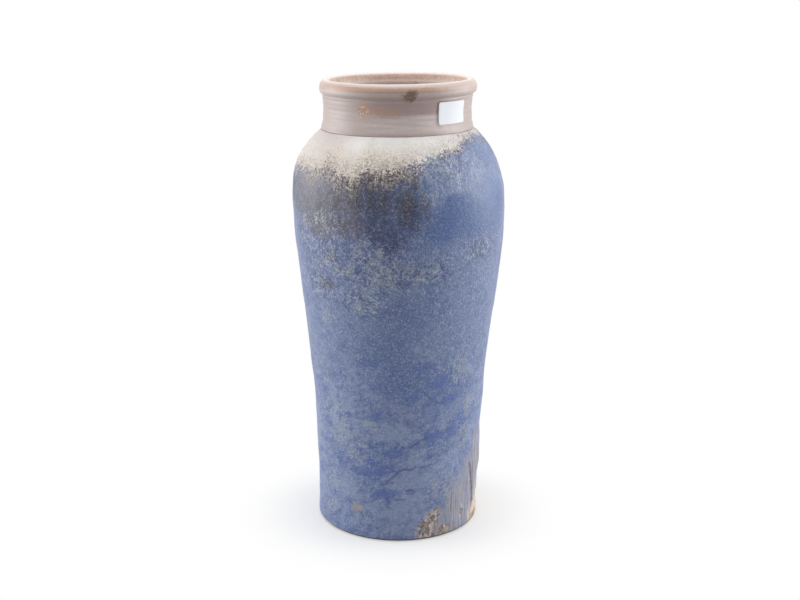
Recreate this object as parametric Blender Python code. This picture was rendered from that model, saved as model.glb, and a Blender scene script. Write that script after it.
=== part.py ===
"""Ceramic vase, thrown in clay sections and glazed.

A foot ring, a body and a neck collar are turned in clay and luted together. Four glaze coats lie on the clay,
and a blank paper label is stuck to the neck. Metres, +Z up. The vase stands on z = 0, centred on the Z axis.
Its front faces -Y. A profile point is (radius, height), and an azimuth is measured from the front towards +X.
"""

import math

import bmesh
import bpy
import numpy as np

# Clearance between pieces that touch
JOINT_GAP = 0.0003

# Heights of the outside, stacked from the foot to the rim
HEEL_HEIGHT = 0.014
FLANK_HEIGHT = 0.183
SHOULDER_HEIGHT = 0.0444
NECK_HEIGHT = 0.0205
LIP_HEIGHT = 0.0081

# Radii of the outside
FOOT_RADIUS = 0.0501
HEEL_INSET = 0.0004
BELLY_RADIUS = 0.0628
NECK_WAIST_RADIUS = 0.0431
NECK_ROOT_FLARE = 0.0019
NECK_TOP_FLARE = 0.0008
LIP_OVERHANG = 0.0028
LIP_CREST_INSET = 0.0037
LIP_BELLY_RISE = 0.0026

# Fullness of the curves: how far each end runs on along its tangent
FLANK_LOWER_PULL = 0.099
FLANK_UPPER_PULL = 0.044
SHOULDER_LOWER_PULL = 0.0205
SHOULDER_UPPER_PULL = 0.0190
SHOULDER_END_SLOPE = math.radians(42)
HEEL_PULL = 0.0056
NECK_LOWER_PULL = 0.006
NECK_UPPER_PULL = 0.007
LIP_INNER_FALL = 0.007

# Clay walls and joints
BODY_WALL = 0.0055
COLLAR_WALL = 0.0029
FLOOR_THICKNESS = 0.009
FLOOR_CORNER_RADIUS = 0.012
FOOT_RING_HEIGHT = 0.004
FOOT_RING_WIDTH = 0.007
FOOT_RING_BEVEL = 0.0008
FOOT_REGISTER_DEPTH = 0.001
SPIGOT_WALL = 0.002
SPIGOT_DEPTH = 0.005

# Glaze coats
BODY_COAT = 0.0008
NECK_COAT = 0.0005
LINER_COAT = 0.0006
NECK_COAT_DEPTH_INSIDE = 0.008
GLAZE_HEM_HEIGHT = 0.0012

# Meeting line of the blue and the cream glaze, below the root of the neck
FRINGE_DROP = 0.0155
FRINGE_DROP_HIGH_SIDE = 0.0014
FRINGE_HIGH_AZIMUTH = math.radians(100)
FRINGE_HIGH_HALF_ARC = math.radians(35)
FRINGE_LOW_HALF_ARC = math.radians(112)

# Patch at the foot where the clay was left bare
BARE_PATCH_HEIGHT = 0.024
BARE_PATCH_AZIMUTH = math.radians(82)
BARE_PATCH_HALF_ARC = math.radians(38)

# Paper label on the neck
LABEL_WIDTH = 0.0205
LABEL_HEIGHT = 0.0124
LABEL_THICKNESS = 0.0002
LABEL_RISE = 0.0057
LABEL_AZIMUTH = math.radians(45)

# Fineness of the meshes
SEGMENTS = 40
HEEL_STEPS = 2
FLANK_STEPS = 9
SHOULDER_STEPS = 6
NECK_STEPS = 4
LIP_STEPS = 3
CORNER_STEPS = 4
LABEL_COLUMNS = 8
WELD = 1e-7
SHARP_EDGE = math.radians(35)

# Heights and radii that follow from the sizes above
HEEL_RADIUS = FOOT_RADIUS - HEEL_INSET
BELLY_Z = HEEL_HEIGHT + FLANK_HEIGHT
ROOT_Z = BELLY_Z + SHOULDER_HEIGHT
LIP_Z = ROOT_Z + NECK_HEIGHT
RIM_Z = LIP_Z + LIP_HEIGHT
ROOT_RADIUS = NECK_WAIST_RADIUS + NECK_ROOT_FLARE
LIP_RADIUS = NECK_WAIST_RADIUS + LIP_OVERHANG
COLLAR_BORE = NECK_WAIST_RADIUS - NECK_COAT - JOINT_GAP - COLLAR_WALL
SPIGOT_RADIUS = COLLAR_BORE + SPIGOT_WALL
MOUTH_RADIUS = SPIGOT_RADIUS + JOINT_GAP
BODY_BOTTOM = FOOT_RING_HEIGHT + JOINT_GAP
FLOOR_TOP = BODY_BOTTOM + FLOOR_THICKNESS

# Finish of each piece: base colour and roughness
FINISHES = {
    "foot_ring": ((0.55, 0.38, 0.25), 0.90),
    "clay_body": ((0.66, 0.50, 0.36), 0.90),
    "neck_collar": ((0.60, 0.42, 0.30), 0.90),
    "blue_glaze": ((0.14, 0.20, 0.42), 0.45),
    "cream_glaze": ((0.72, 0.70, 0.66), 0.50),
    "neck_glaze": ((0.53, 0.43, 0.39), 0.40),
    "liner_glaze": ((0.50, 0.42, 0.33), 0.50),
    "paper_label": ((0.90, 0.91, 0.92), 0.65),
}


def curve(start, start_handle, end_handle, end, steps):
    """Points along a cubic curve, both ends included."""
    points = []
    for t in np.linspace(0.0, 1.0, steps + 1):
        u = 1.0 - t
        weights = (u * u * u, 3 * u * u * t, 3 * u * t * t, t * t * t)
        corners = (start, start_handle, end_handle, end)
        points.append(tuple(sum(w * c[i] for w, c in zip(weights, corners)) for i in (0, 1)))
    return points


def quarter(centre, across, up, start, end, steps):
    """Points along a quarter of an ellipse between two angles, both ends included."""
    return [
        (centre[0] + across * math.cos(a), centre[1] + up * math.sin(a))
        for a in np.linspace(start, end, steps + 1)
    ]


def offset(line, depth):
    """A line parallel to this one, to the left of its direction, with mitred corners."""
    points = np.array(line)
    steps = np.diff(points, axis=0)
    steps /= np.linalg.norm(steps, axis=1)[:, None]
    normals = np.column_stack([-steps[:, 1], steps[:, 0]])
    before = np.vstack([normals[:1], normals])
    after = np.vstack([normals, normals[-1:]])
    mitre = before + after
    mitre /= np.einsum("ij,ij->i", mitre, after)[:, None]
    return [tuple(p) for p in points + depth * mitre]


def point_at(line, height):
    """The point of a rising line at a height."""
    heights = [p[1] for p in line]
    return (float(np.interp(height, heights, [p[0] for p in line])), height)


def points_along(line, places):
    """Points of a line at fractional places, counted in points from its start."""
    numbers = np.arange(len(line))
    return [tuple(np.interp(place, numbers, [p[i] for p in line]) for i in (0, 1)) for place in places]


def between(line, low, high):
    """The stretch of a rising line between two heights."""
    inner = [p for p in line if low + WELD < p[1] < high - WELD]
    return [point_at(line, low)] + inner + [point_at(line, high)]


def ramp(value):
    """A smooth step from 1 at value 0 and below to 0 at value 1 and above."""
    return 0.5 + 0.5 * math.cos(math.pi * min(max(value, 0.0), 1.0))


def turn_from(azimuth, centre):
    """How far an azimuth lies from another, between 0 and a half turn."""
    return abs((azimuth - centre + math.pi) % math.tau - math.pi)


def fringe_height(azimuth):
    """Height where the blue glaze gives way to the cream one."""
    away = turn_from(azimuth, FRINGE_HIGH_AZIMUTH) - FRINGE_HIGH_HALF_ARC
    share = ramp(away / (FRINGE_LOW_HALF_ARC - FRINGE_HIGH_HALF_ARC))
    return ROOT_Z - FRINGE_DROP + share * (FRINGE_DROP - FRINGE_DROP_HIGH_SIDE)


def hem_height(azimuth):
    """Height of the lower edge of the blue glaze."""
    share = ramp(turn_from(azimuth, BARE_PATCH_AZIMUTH) / BARE_PATCH_HALF_ARC)
    return GLAZE_HEM_HEIGHT + BARE_PATCH_HEIGHT * share


def body_outside():
    """Outer face of the glazed body, from the table to the root of the neck."""
    foot = (FOOT_RADIUS, 0.0)
    heel = (HEEL_RADIUS, HEEL_HEIGHT)
    belly = (BELLY_RADIUS, BELLY_Z)
    root = (ROOT_RADIUS, ROOT_Z)
    line = curve(foot, (FOOT_RADIUS, HEEL_PULL), (HEEL_RADIUS, HEEL_HEIGHT - HEEL_PULL), heel, HEEL_STEPS)
    line += curve(
        heel,
        (HEEL_RADIUS, HEEL_HEIGHT + FLANK_LOWER_PULL),
        (BELLY_RADIUS, BELLY_Z - FLANK_UPPER_PULL),
        belly,
        FLANK_STEPS,
    )[1:]
    root_handle = (
        ROOT_RADIUS + SHOULDER_UPPER_PULL * math.cos(SHOULDER_END_SLOPE),
        ROOT_Z - SHOULDER_UPPER_PULL * math.sin(SHOULDER_END_SLOPE),
    )
    shoulder_handle = (BELLY_RADIUS, BELLY_Z + SHOULDER_LOWER_PULL)
    return line + curve(belly, shoulder_handle, root_handle, root, SHOULDER_STEPS)[1:]


def neck_outside():
    """Outer face of the neck glaze, from the root up, over the lip and down inside."""
    root = (ROOT_RADIUS, ROOT_Z + JOINT_GAP)
    top = (NECK_WAIST_RADIUS + NECK_TOP_FLARE, LIP_Z)
    inner_radius = COLLAR_BORE - JOINT_GAP - NECK_COAT
    lip_belly_z = LIP_Z + LIP_BELLY_RISE
    crest_radius = LIP_RADIUS - LIP_CREST_INSET
    # Handles this far in bring the middle of the cubic to the waist radius
    waist = NECK_WAIST_RADIUS - (NECK_ROOT_FLARE + NECK_TOP_FLARE) / 6
    line = curve(root, (waist, root[1] + NECK_LOWER_PULL), (waist, LIP_Z - NECK_UPPER_PULL), top, NECK_STEPS)
    under = quarter(
        (top[0], lip_belly_z), LIP_RADIUS - top[0], LIP_BELLY_RISE, -math.pi / 2, 0, LIP_STEPS
    )
    over = quarter(
        (crest_radius, lip_belly_z), LIP_CREST_INSET, RIM_Z - lip_belly_z, 0, math.pi / 2, LIP_STEPS
    )
    inside = quarter(
        (crest_radius, RIM_Z - LIP_INNER_FALL),
        crest_radius - inner_radius,
        LIP_INNER_FALL,
        math.pi / 2,
        math.pi,
        LIP_STEPS,
    )
    end = (inner_radius, RIM_Z - NECK_COAT_DEPTH_INSIDE)
    return line + under[1:] + over[1:] + inside[1:] + [end]


BODY_FACE = body_outside()
BODY_COAT_BACK = offset(BODY_FACE, BODY_COAT)
BODY_CLAY = offset(BODY_FACE, BODY_COAT + JOINT_GAP)
BODY_INSIDE = offset(BODY_CLAY, BODY_WALL)
NECK_FACE = neck_outside()
NECK_COAT_BACK = offset(NECK_FACE, NECK_COAT)
NECK_CLAY = offset(NECK_FACE, NECK_COAT + JOINT_GAP)
LAND_Z = BODY_CLAY[-1][1]
SPIGOT_BOTTOM = LAND_Z + JOINT_GAP - SPIGOT_DEPTH


def mouth_height():
    """Height where the bore of the body's mouth breaks out of the sloping inside of the shoulder."""
    falling = [p for p in reversed(BODY_INSIDE) if p[1] > BELLY_Z]
    return float(np.interp(MOUTH_RADIUS, [p[0] for p in falling], [p[1] for p in falling]))


def floor_line():
    """Inside of the clay floor, from the axis out and up round its corner."""
    corner_z = FLOOR_TOP + FLOOR_CORNER_RADIUS
    wall_radius = point_at(BODY_INSIDE, corner_z)[0]
    centre = (wall_radius - FLOOR_CORNER_RADIUS, corner_z)
    corner = quarter(
        centre, FLOOR_CORNER_RADIUS, FLOOR_CORNER_RADIUS, -math.pi / 2, 0, CORNER_STEPS
    )
    return [(0.0, FLOOR_TOP)] + corner


def clay_inside():
    """Whole inside of the clay that the liner covers, from the axis to below the rim."""
    floor = floor_line()
    mouth_z = mouth_height()
    line = floor + between(BODY_INSIDE, floor[-1][1], min(mouth_z, SPIGOT_BOTTOM))[1:]
    if SPIGOT_BOTTOM > mouth_z:
        line.append((MOUTH_RADIUS, SPIGOT_BOTTOM))
    liner_top = NECK_FACE[-1][1] - JOINT_GAP
    return line + [(COLLAR_BORE, SPIGOT_BOTTOM), (COLLAR_BORE, liner_top)]


def new_piece(name, mesh_data):
    """A named object with its own finish, from a bmesh whose faces are made to point out."""
    bmesh.ops.remove_doubles(mesh_data, verts=mesh_data.verts, dist=WELD)
    bmesh.ops.recalc_face_normals(mesh_data, faces=mesh_data.faces)
    mesh = bpy.data.meshes.new(name)
    mesh_data.to_mesh(mesh)
    mesh_data.free()
    mesh.shade_smooth()
    mesh.set_sharp_from_angle(angle=SHARP_EDGE)
    colour, roughness = FINISHES[name]
    material = bpy.data.materials.new(name)
    material.use_nodes = True
    shader = material.node_tree.nodes["Principled BSDF"]
    shader.inputs["Base Color"].default_value = (*colour, 1.0)
    shader.inputs["Roughness"].default_value = roughness
    mesh.materials.append(material)
    piece = bpy.data.objects.new(name, mesh)
    bpy.context.scene.collection.objects.link(piece)
    return piece


def turned(name, outline):
    """A piece turned round the Z axis from its cross-section, closed unless it ends on the axis twice."""
    mesh_data = bmesh.new()
    ring = [mesh_data.verts.new((r, 0.0, z)) for r, z in outline]
    open_ended = outline[0][0] == 0.0 and outline[-1][0] == 0.0
    pairs = list(zip(ring, ring[1:]))
    if not open_ended:
        pairs.append((ring[-1], ring[0]))
    edges = [mesh_data.edges.new(pair) for pair in pairs]
    bmesh.ops.spin(
        mesh_data,
        geom=ring + edges,
        axis=(0.0, 0.0, 1.0),
        cent=(0.0, 0.0, 0.0),
        angle=math.tau,
        steps=SEGMENTS,
        use_merge=True,
    )
    return new_piece(name, mesh_data)


def wrapped(name, face, back, azimuths, span, closed):
    """A coat between a face and its parallel back, over the heights that span gives at each azimuth."""
    mesh_data = bmesh.new()
    rings = []
    heights = np.array([p[1] for p in face])
    for azimuth in azimuths:
        low, high = span(azimuth)
        levels = [low] + [min(max(h, low), high) for h in heights[1:-1]] + [high]
        places = np.interp(levels, heights, np.arange(len(face)))
        section = points_along(face, places) + points_along(back, places)[::-1]
        sine = math.sin(azimuth)
        cosine = math.cos(azimuth)
        rings.append([mesh_data.verts.new((r * sine, -r * cosine, z)) for r, z in section])
    following = rings[1:] + rings[:1] if closed else rings[1:]
    for ring, other in zip(rings, following):
        for i in range(len(ring)):
            j = (i + 1) % len(ring)
            mesh_data.faces.new((ring[i], ring[j], other[j], other[i]))
    if not closed:
        half = len(face)
        for ring in (rings[0], rings[-1]):
            for i in range(half - 1):
                mesh_data.faces.new((ring[i], ring[i + 1], ring[-2 - i], ring[-1 - i]))
    return new_piece(name, mesh_data)


def foot_ring():
    """Turned ring that the vase stands on, fitted round the register under the floor."""
    outer_top = point_at(BODY_CLAY, FOOT_RING_HEIGHT)[0]
    outer_bottom = BODY_CLAY[0][0]
    inner = outer_bottom - FOOT_RING_WIDTH
    outline = [
        (outer_bottom - FOOT_RING_BEVEL, 0.0),
        (point_at(BODY_CLAY, FOOT_RING_BEVEL)[0], FOOT_RING_BEVEL),
        (outer_top, FOOT_RING_HEIGHT),
        (inner, FOOT_RING_HEIGHT),
        (inner, FOOT_RING_BEVEL),
        (inner + FOOT_RING_BEVEL, 0.0),
    ]
    return turned("foot_ring", outline)


def clay_body():
    """Floor, flank and shoulder in one wall, with a flat land and a bore at the mouth for the collar."""
    register_radius = BODY_CLAY[0][0] - FOOT_RING_WIDTH - JOINT_GAP
    register_z = BODY_BOTTOM - FOOT_REGISTER_DEPTH
    floor = floor_line()
    mouth_z = mouth_height()
    outside = between(BODY_CLAY, BODY_BOTTOM, LAND_Z)
    inside = floor + between(BODY_INSIDE, floor[-1][1], mouth_z)[1:]
    outline = [(0.0, register_z), (register_radius, register_z), (register_radius, BODY_BOTTOM)]
    outline += outside
    outline += [(MOUTH_RADIUS, LAND_Z)]
    outline += inside[::-1]
    return turned("clay_body", outline)


def neck_collar():
    """Neck and rolled lip in one turned collar, which sits on the body's land by its spigot."""
    seat_z = LAND_Z + JOINT_GAP
    outline = [(NECK_CLAY[0][0], seat_z)] + NECK_CLAY
    outline += [(COLLAR_BORE, SPIGOT_BOTTOM), (SPIGOT_RADIUS, SPIGOT_BOTTOM), (SPIGOT_RADIUS, seat_z)]
    return turned("neck_collar", outline)


def neck_glaze():
    """Thin coat over the neck and the lip, ending just inside the mouth."""
    return turned("neck_glaze", NECK_FACE + NECK_COAT_BACK[::-1])


def liner_glaze():
    """Coat that makes the inside hold water, from the floor to just below the lip."""
    inside = clay_inside()
    outer = offset(inside, JOINT_GAP)
    inner = offset(inside, JOINT_GAP + LINER_COAT)
    return turned("liner_glaze", outer + inner[::-1])


def around():
    """Azimuths of the meridians, in line with those of the turned pieces."""
    return [math.tau * i / SEGMENTS for i in range(SEGMENTS)]


def blue_glaze():
    """Main coat, from its hem above the foot to the fringe on the shoulder."""

    def span(azimuth):
        return hem_height(azimuth), fringe_height(azimuth) - JOINT_GAP / 2

    return wrapped("blue_glaze", BODY_FACE, BODY_COAT_BACK, around(), span, True)


def cream_glaze():
    """Coat of the upper shoulder, from the fringe to the root of the neck."""

    def span(azimuth):
        return fringe_height(azimuth) + JOINT_GAP / 2, ROOT_Z

    return wrapped("cream_glaze", BODY_FACE, BODY_COAT_BACK, around(), span, True)


def paper_label():
    """Blank rectangle of paper that follows the neck."""
    rising = NECK_FACE[: NECK_STEPS + 1]
    inner = offset(rising, -JOINT_GAP)
    outer = offset(rising, -JOINT_GAP - LABEL_THICKNESS)
    half_arc = LABEL_WIDTH / 2 / (NECK_WAIST_RADIUS + JOINT_GAP)
    azimuths = [LABEL_AZIMUTH + half_arc * s for s in np.linspace(-1.0, 1.0, LABEL_COLUMNS + 1)]
    bottom = ROOT_Z + LABEL_RISE

    def span(_):
        return bottom, bottom + LABEL_HEIGHT

    return wrapped("paper_label", outer, inner, azimuths, span, False)


def main():
    for thing in list(bpy.data.objects):
        bpy.data.objects.remove(thing, do_unlink=True)
    foot_ring()
    clay_body()
    neck_collar()
    blue_glaze()
    cream_glaze()
    neck_glaze()
    liner_glaze()
    paper_label()


main()
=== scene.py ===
"""Dressed ceramic vase: clay, neck, lip, glaze coats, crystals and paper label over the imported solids.

Run as a script. Lengths are metres, +Z is up and the front faces -Y. An azimuth is measured from the front
towards +X. A line is an array of (radius, height) rows that runs up the outside or down the inside.
"""

import functools
import math

import bmesh
import bpy
import numpy as np
from bpy.props import FloatProperty, FloatVectorProperty, IntProperty, PointerProperty
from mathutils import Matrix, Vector


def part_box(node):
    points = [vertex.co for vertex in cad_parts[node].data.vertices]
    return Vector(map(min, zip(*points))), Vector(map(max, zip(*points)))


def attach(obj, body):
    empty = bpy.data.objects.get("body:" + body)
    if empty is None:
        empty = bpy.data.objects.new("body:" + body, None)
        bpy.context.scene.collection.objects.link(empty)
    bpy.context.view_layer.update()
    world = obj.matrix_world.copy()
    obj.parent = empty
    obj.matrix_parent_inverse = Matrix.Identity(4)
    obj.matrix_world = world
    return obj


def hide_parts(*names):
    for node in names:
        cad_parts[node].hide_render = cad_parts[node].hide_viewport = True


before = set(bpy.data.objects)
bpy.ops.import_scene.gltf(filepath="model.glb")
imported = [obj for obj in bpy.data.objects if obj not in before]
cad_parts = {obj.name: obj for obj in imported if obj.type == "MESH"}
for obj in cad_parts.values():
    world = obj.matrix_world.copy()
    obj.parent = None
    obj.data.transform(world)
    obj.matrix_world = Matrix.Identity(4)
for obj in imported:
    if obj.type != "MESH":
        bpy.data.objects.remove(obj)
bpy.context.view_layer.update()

bl_info = {
    "name": "Glazed Vase",
    "version": (1, 0, 0),
    "blender": (4, 5, 0),
    "location": "View3D > Sidebar > Vase",
    "description": "Turns, glazes and stages a wheel-thrown vase",
    "category": "Add Mesh",
}

MM = 0.001
BODY = "root"

# Sizes read from the construction
RIM_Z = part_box("neck_glaze")[1].z
ROOT_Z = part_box("cream_glaze")[1].z
BELLY_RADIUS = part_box("blue_glaze")[1].x
LIP_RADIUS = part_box("neck_glaze")[1].x
RING_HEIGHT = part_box("foot_ring")[1].z
SPIGOT_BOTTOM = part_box("neck_collar")[0].z
LINER_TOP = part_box("liner_glaze")[1].z
LABEL_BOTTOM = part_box("paper_label")[0].z
LABEL_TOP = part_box("paper_label")[1].z

# Columns of the meshes round the vase, and the angle from which an edge is sharp
FINE = 480
PLAIN = 240
SHARP = math.radians(50)

# Rows of the glaze coats: those of the face, those of the cream coat's rounded edge, and those of the back
BLUE_ROWS = 166
BLUE_BACK_ROWS = 22
CREAM_ROWS = 44
CREAM_EDGE_ROWS = 9
CREAM_BACK_ROWS = 5
NECK_ROWS = 132
NECK_BACK_ROWS = 40

# Steps up the neck's line, round the lip's outer face and over its crest
NECK_STEPS = 66
LIP_STEPS = 14
CREST_STEPS = 22

# Radii at which the noise of the fringe and the paths near the foot are laid out
FRINGE_NOISE_RADIUS = 0.06
PATH_RADIUS = 0.0505

# The label's sheet: thickness, rounding of its corners, and columns and rows of its mesh
LABEL_THICKNESS = 0.2 * MM
LABEL_CORNER = 0.9 * MM
LABEL_COLUMNS = 41
LABEL_ROWS = 25

# The grains lie this far either side of the fringe, on a band of so many rows. Their number is spread over an
# area in square metres.
GRAIN_SPREAD = 9 * MM
GRAIN_ROWS = 28
GRAIN_BAND = math.tau * 0.052 * 0.013

# How far the ends of the flank and shoulder curves run on along their tangents
FLANK_PULLS = (99 * MM, 44 * MM)
SHOULDER_PULLS = (20.5 * MM, 19 * MM)
SHOULDER_END_SLOPE = math.radians(42)
HEEL_PULL = 5.6 * MM
NECK_PULLS = (6 * MM, 7 * MM)

# Where the turning axis wandered: height and sideways shift, in mm
SWAY = [
    (0, 0.1), (12, 0.25), (24, 0.2), (34, 0.3), (45, 0.0), (55, -0.05), (66, 0.36), (78, 0.66), (100, 0.3),
    (115, 0.35), (126, 0.5), (140, 0.8), (165, 0.9), (190, 0.65), (206, 0.15), (219, -0.65), (232, -0.65),
    (250, -0.36), (258, -0.3), (265, 0.08), (270, 0.1),
]

# Meeting line of the blue and the cream glaze: azimuth in degrees and height in mm
FRINGE = [
    (-180, 226.5), (-150, 228.0), (-120, 223.0), (-90, 221.5), (-64, 223.4), (-50, 223.8), (-43, 225.6),
    (-38, 225.2), (-34, 221.2), (-30, 222.6), (-24, 220.4), (-17, 225.6), (-9, 226.0), (7, 226.8),
    (13, 228.6), (19, 230.2), (25, 231.8), (32, 234.0), (42, 236.0), (52, 237.8), (62, 239.4), (105, 240.2),
    (135, 238.0), (160, 230.0), (180, 226.5),
]

# How far the grains reach up into the cream: azimuth in degrees and height in mm
GRAIN_REACH = [
    (-180, 10), (-60, 13), (-20, 11.5), (4, 9.5), (22, 5.5), (40, 4.2), (70, 4.2), (120, 8), (180, 10),
]

# Marks on the glaze, each an azimuth in degrees, then height, half width and half height in mm.
# A fifth number is the rise across half the width, in mm.
POOLS = [(-6, 206, 17, 17), (-8, 221, 15, 8), (-8, 194, 15, 11), (6, 200, 10, 12), (-4, 187, 9, 8)]
HAZES = [
    (-57, 213, 16, 13), (-46, 196, 19, 11), (-24, 193, 11, 7), (-40, 212, 25, 17), (-64, 208, 17, 17),
    (-26, 208, 12, 12), (-24, 216, 12, 10),
]
FROSTS = [(22, 221, 11, 9), (34, 224, 11, 11), (13, 222, 7, 6), (20, 211, 6, 6), (44, 226, 10, 9)]
DEEPS = [
    (-26, 188, 14, 12), (0, 172, 16, 14), (-24, 180, 16, 14), (-46, 192, 16, 16), (-60, 180, 12, 14),
    (52, 192, 16, 20), (2, 140, 18, 14), (0, 184, 15, 12), (2, 100, 17, 20), (-8, 122, 14, 12),
    (20, 196, 12, 14), (36, 92, 12, 16),
]
RUNS = [
    (-7, 212, 2.4, 10), (4, 208, 2.2, 12), (-33, 206, 2.4, 14), (-24, 213, 2, 9), (14, 207, 2.2, 8),
    (-13, 216, 2.4, 8), (-46, 206, 2, 10), (9, 219, 2.2, 5), (-43, 158, 7, 4.6), (-38, 175, 4, 3),
]
BRIGHTS = [
    (32, 199, 15, 8), (22, 190, 10, 7), (44, 200, 14, 9), (30, 207, 10, 4), (60, 204, 16, 14),
    (40, 194, 14, 8),
]
ZONES = [
    (28, 226, 16, 8), (-14, 171, 32, 18), (-40, 175, 18, 16), (18, 168, 14, 10), (-20, 150, 20, 8),
    (-42, 192, 20, 12), (47, 178, 12, 9), (-55, 184, 16, 20), (-50, 160, 16, 14),
]
COARSE = [
    (-8, 168, 4, 4), (-1, 174, 4, 4.5), (6, 170, 4, 5), (11, 165, 5, 3), (-9, 180, 3, 5), (-29, 167, 6, 4),
    (-5, 161, 9, 3), (-15, 173, 4, 3), (-20, 184, 3, 3), (-14, 162, 6, 3),
]
COBALTS = [
    (0, 57, 8, 3.6), (24, 67, 5.2, 4.4), (20, 54, 5.4, 3), (16, 109, 6, 4.6), (25, 100, 5, 3), (6, 90, 5, 3),
    (19, 87, 5, 3), (-18, 112, 8, 3), (-26, 44, 9, 3), (25, 78, 4, 2.4, 2), (35, 88, 8, 3, 2),
    (-12, 80, 9, 4), (-12, 45, 9, 3, 3), (10, 72, 7, 3, 2), (-8, 30, 8, 3),
]
MATTS = [
    (-1, 68, 17, 5, 2), (11, 53, 9, 5.5, 3), (2, 39, 16, 6.5, 3), (22, 92, 10, 5.5, 5), (-8, 18, 16, 6),
    (18, 40, 9, 5, 3), (8, 14, 12, 6), (-22, 10, 14, 5), (29, 77, 9, 5, 2), (34, 48, 8, 6, 2),
    (-38, 30, 12, 6, 2), (40, 84, 8, 6, 2), (-44, 90, 8, 8), (2, 17, 15, 8), (-12, 8, 16, 7), (12, 26, 12, 6),
]
STAINS = [
    (-45, 61, 8, 4, -2), (-25, 62, 5.4, 5, -2), (-32, 53, 7, 4.4, -1), (-46, 138, 8, 5), (-51, 82, 9.6, 7),
    (-40, 69, 8, 6), (41, 111, 8, 8, 2), (44, 101, 9, 6), (-58, 100, 9, 9), (46, 60, 7, 9), (26, 30, 4, 8, 1),
    (-58, 14, 9, 6), (-54, 34, 7, 6), (36, 30, 6, 9, 2), (-20, 74, 6, 3, -2), (52, 82, 6, 10),
]
OCHRES = [(-30, 19, 3.6, 3.4)]
RUSTS = [(18, 9, 4.4, 5), (23, 11, 4, 7), (33, 4, 6, 3.2), (20, 4, 7, 3.2), (28, 16, 2.4, 4), (50, 12, 2, 5)]
GREYS = [
    (34, 8, 9, 12), (47, 14, 12, 18), (58, 12, 9, 12), (60, 24, 11, 24), (72, 32, 10, 28), (90, 36, 14, 26),
]
BARE_EDGE = [
    (-180, 0), (50, 0), (60, 0.05), (68, 0.55), (76, 0.8), (86, 1.0), (102, 0.75), (118, 0.3), (135, 0),
    (180, 0),
]
THIN_EDGE = [
    (-180, -20), (50, -20), (57, 7), (63, 15), (71, 24), (80, 30), (94, 34), (112, 32), (130, 16), (150, -20),
    (180, -20),
]
CRACKS = [
    [(-12, 38), (-7, 39), (-3, 42), (0, 45), (4, 46.6), (8, 46.2), (12, 47.8), (18, 47.2)],
    [(-3, 65), (3, 61), (8, 60.5), (12, 63), (16, 65), (21, 66)],
    [(-12, 36.8), (-8, 37.4), (-4, 37.6)],
    [(5, 32.6), (8, 33.4), (11, 32.4)],
    [(6, 31), (9, 30.6), (11, 31.4)],
    [(-13, 27.4), (-10, 27.8), (-8, 27)],
    [(-3, 27), (1, 26.8), (5, 27)],
    [(-20, 62), (-16, 58), (-12, 56)],
    [(16, 95), (22, 89), (30, 86)],
]
STREAKS = [[(60, 40), (62, 32), (63.5, 25), (65, 15), (66, 8)]]
GLINTS = [
    [(65.5, 38), (67, 24), (68.5, 9)],
    [(47, 22), (48, 4)],
    [(51.5, 27), (52.5, 10)],
    [(43, 14), (44, 3)],
]
NECK_SPOTS = [(8, 263.7, 3.6, 3.6)]
NECK_BURNS = [(-12, 255.0, 12, 2.2), (-25, 256.5, 3.5, 4.5)]
NECK_CRAZES = [(-27, 254, 3.6, 5)]


def length(name, description, default, low=0.0, high=0.5):
    """A length that a user can change."""
    return FloatProperty(
        name=name, description=description, default=default, min=low, max=high, unit="LENGTH", precision=5
    )


def number(name, description, default, **limits):
    """A plain number that a user can change."""
    return FloatProperty(name=name, description=description, default=default, **limits)


def linear(value):
    """Linear value of an 8-bit screen value."""
    value /= 255
    return value / 12.92 if value <= 0.04045 else ((value + 0.055) / 1.055) ** 2.4


def colour(name, description, *screen):
    """A colour that a user can change, written as 8-bit screen values."""
    return FloatVectorProperty(
        name=name,
        description=description,
        default=[linear(value) for value in screen],
        size=3,
        min=0.0,
        max=1.0,
        subtype="COLOR",
    )


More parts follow.
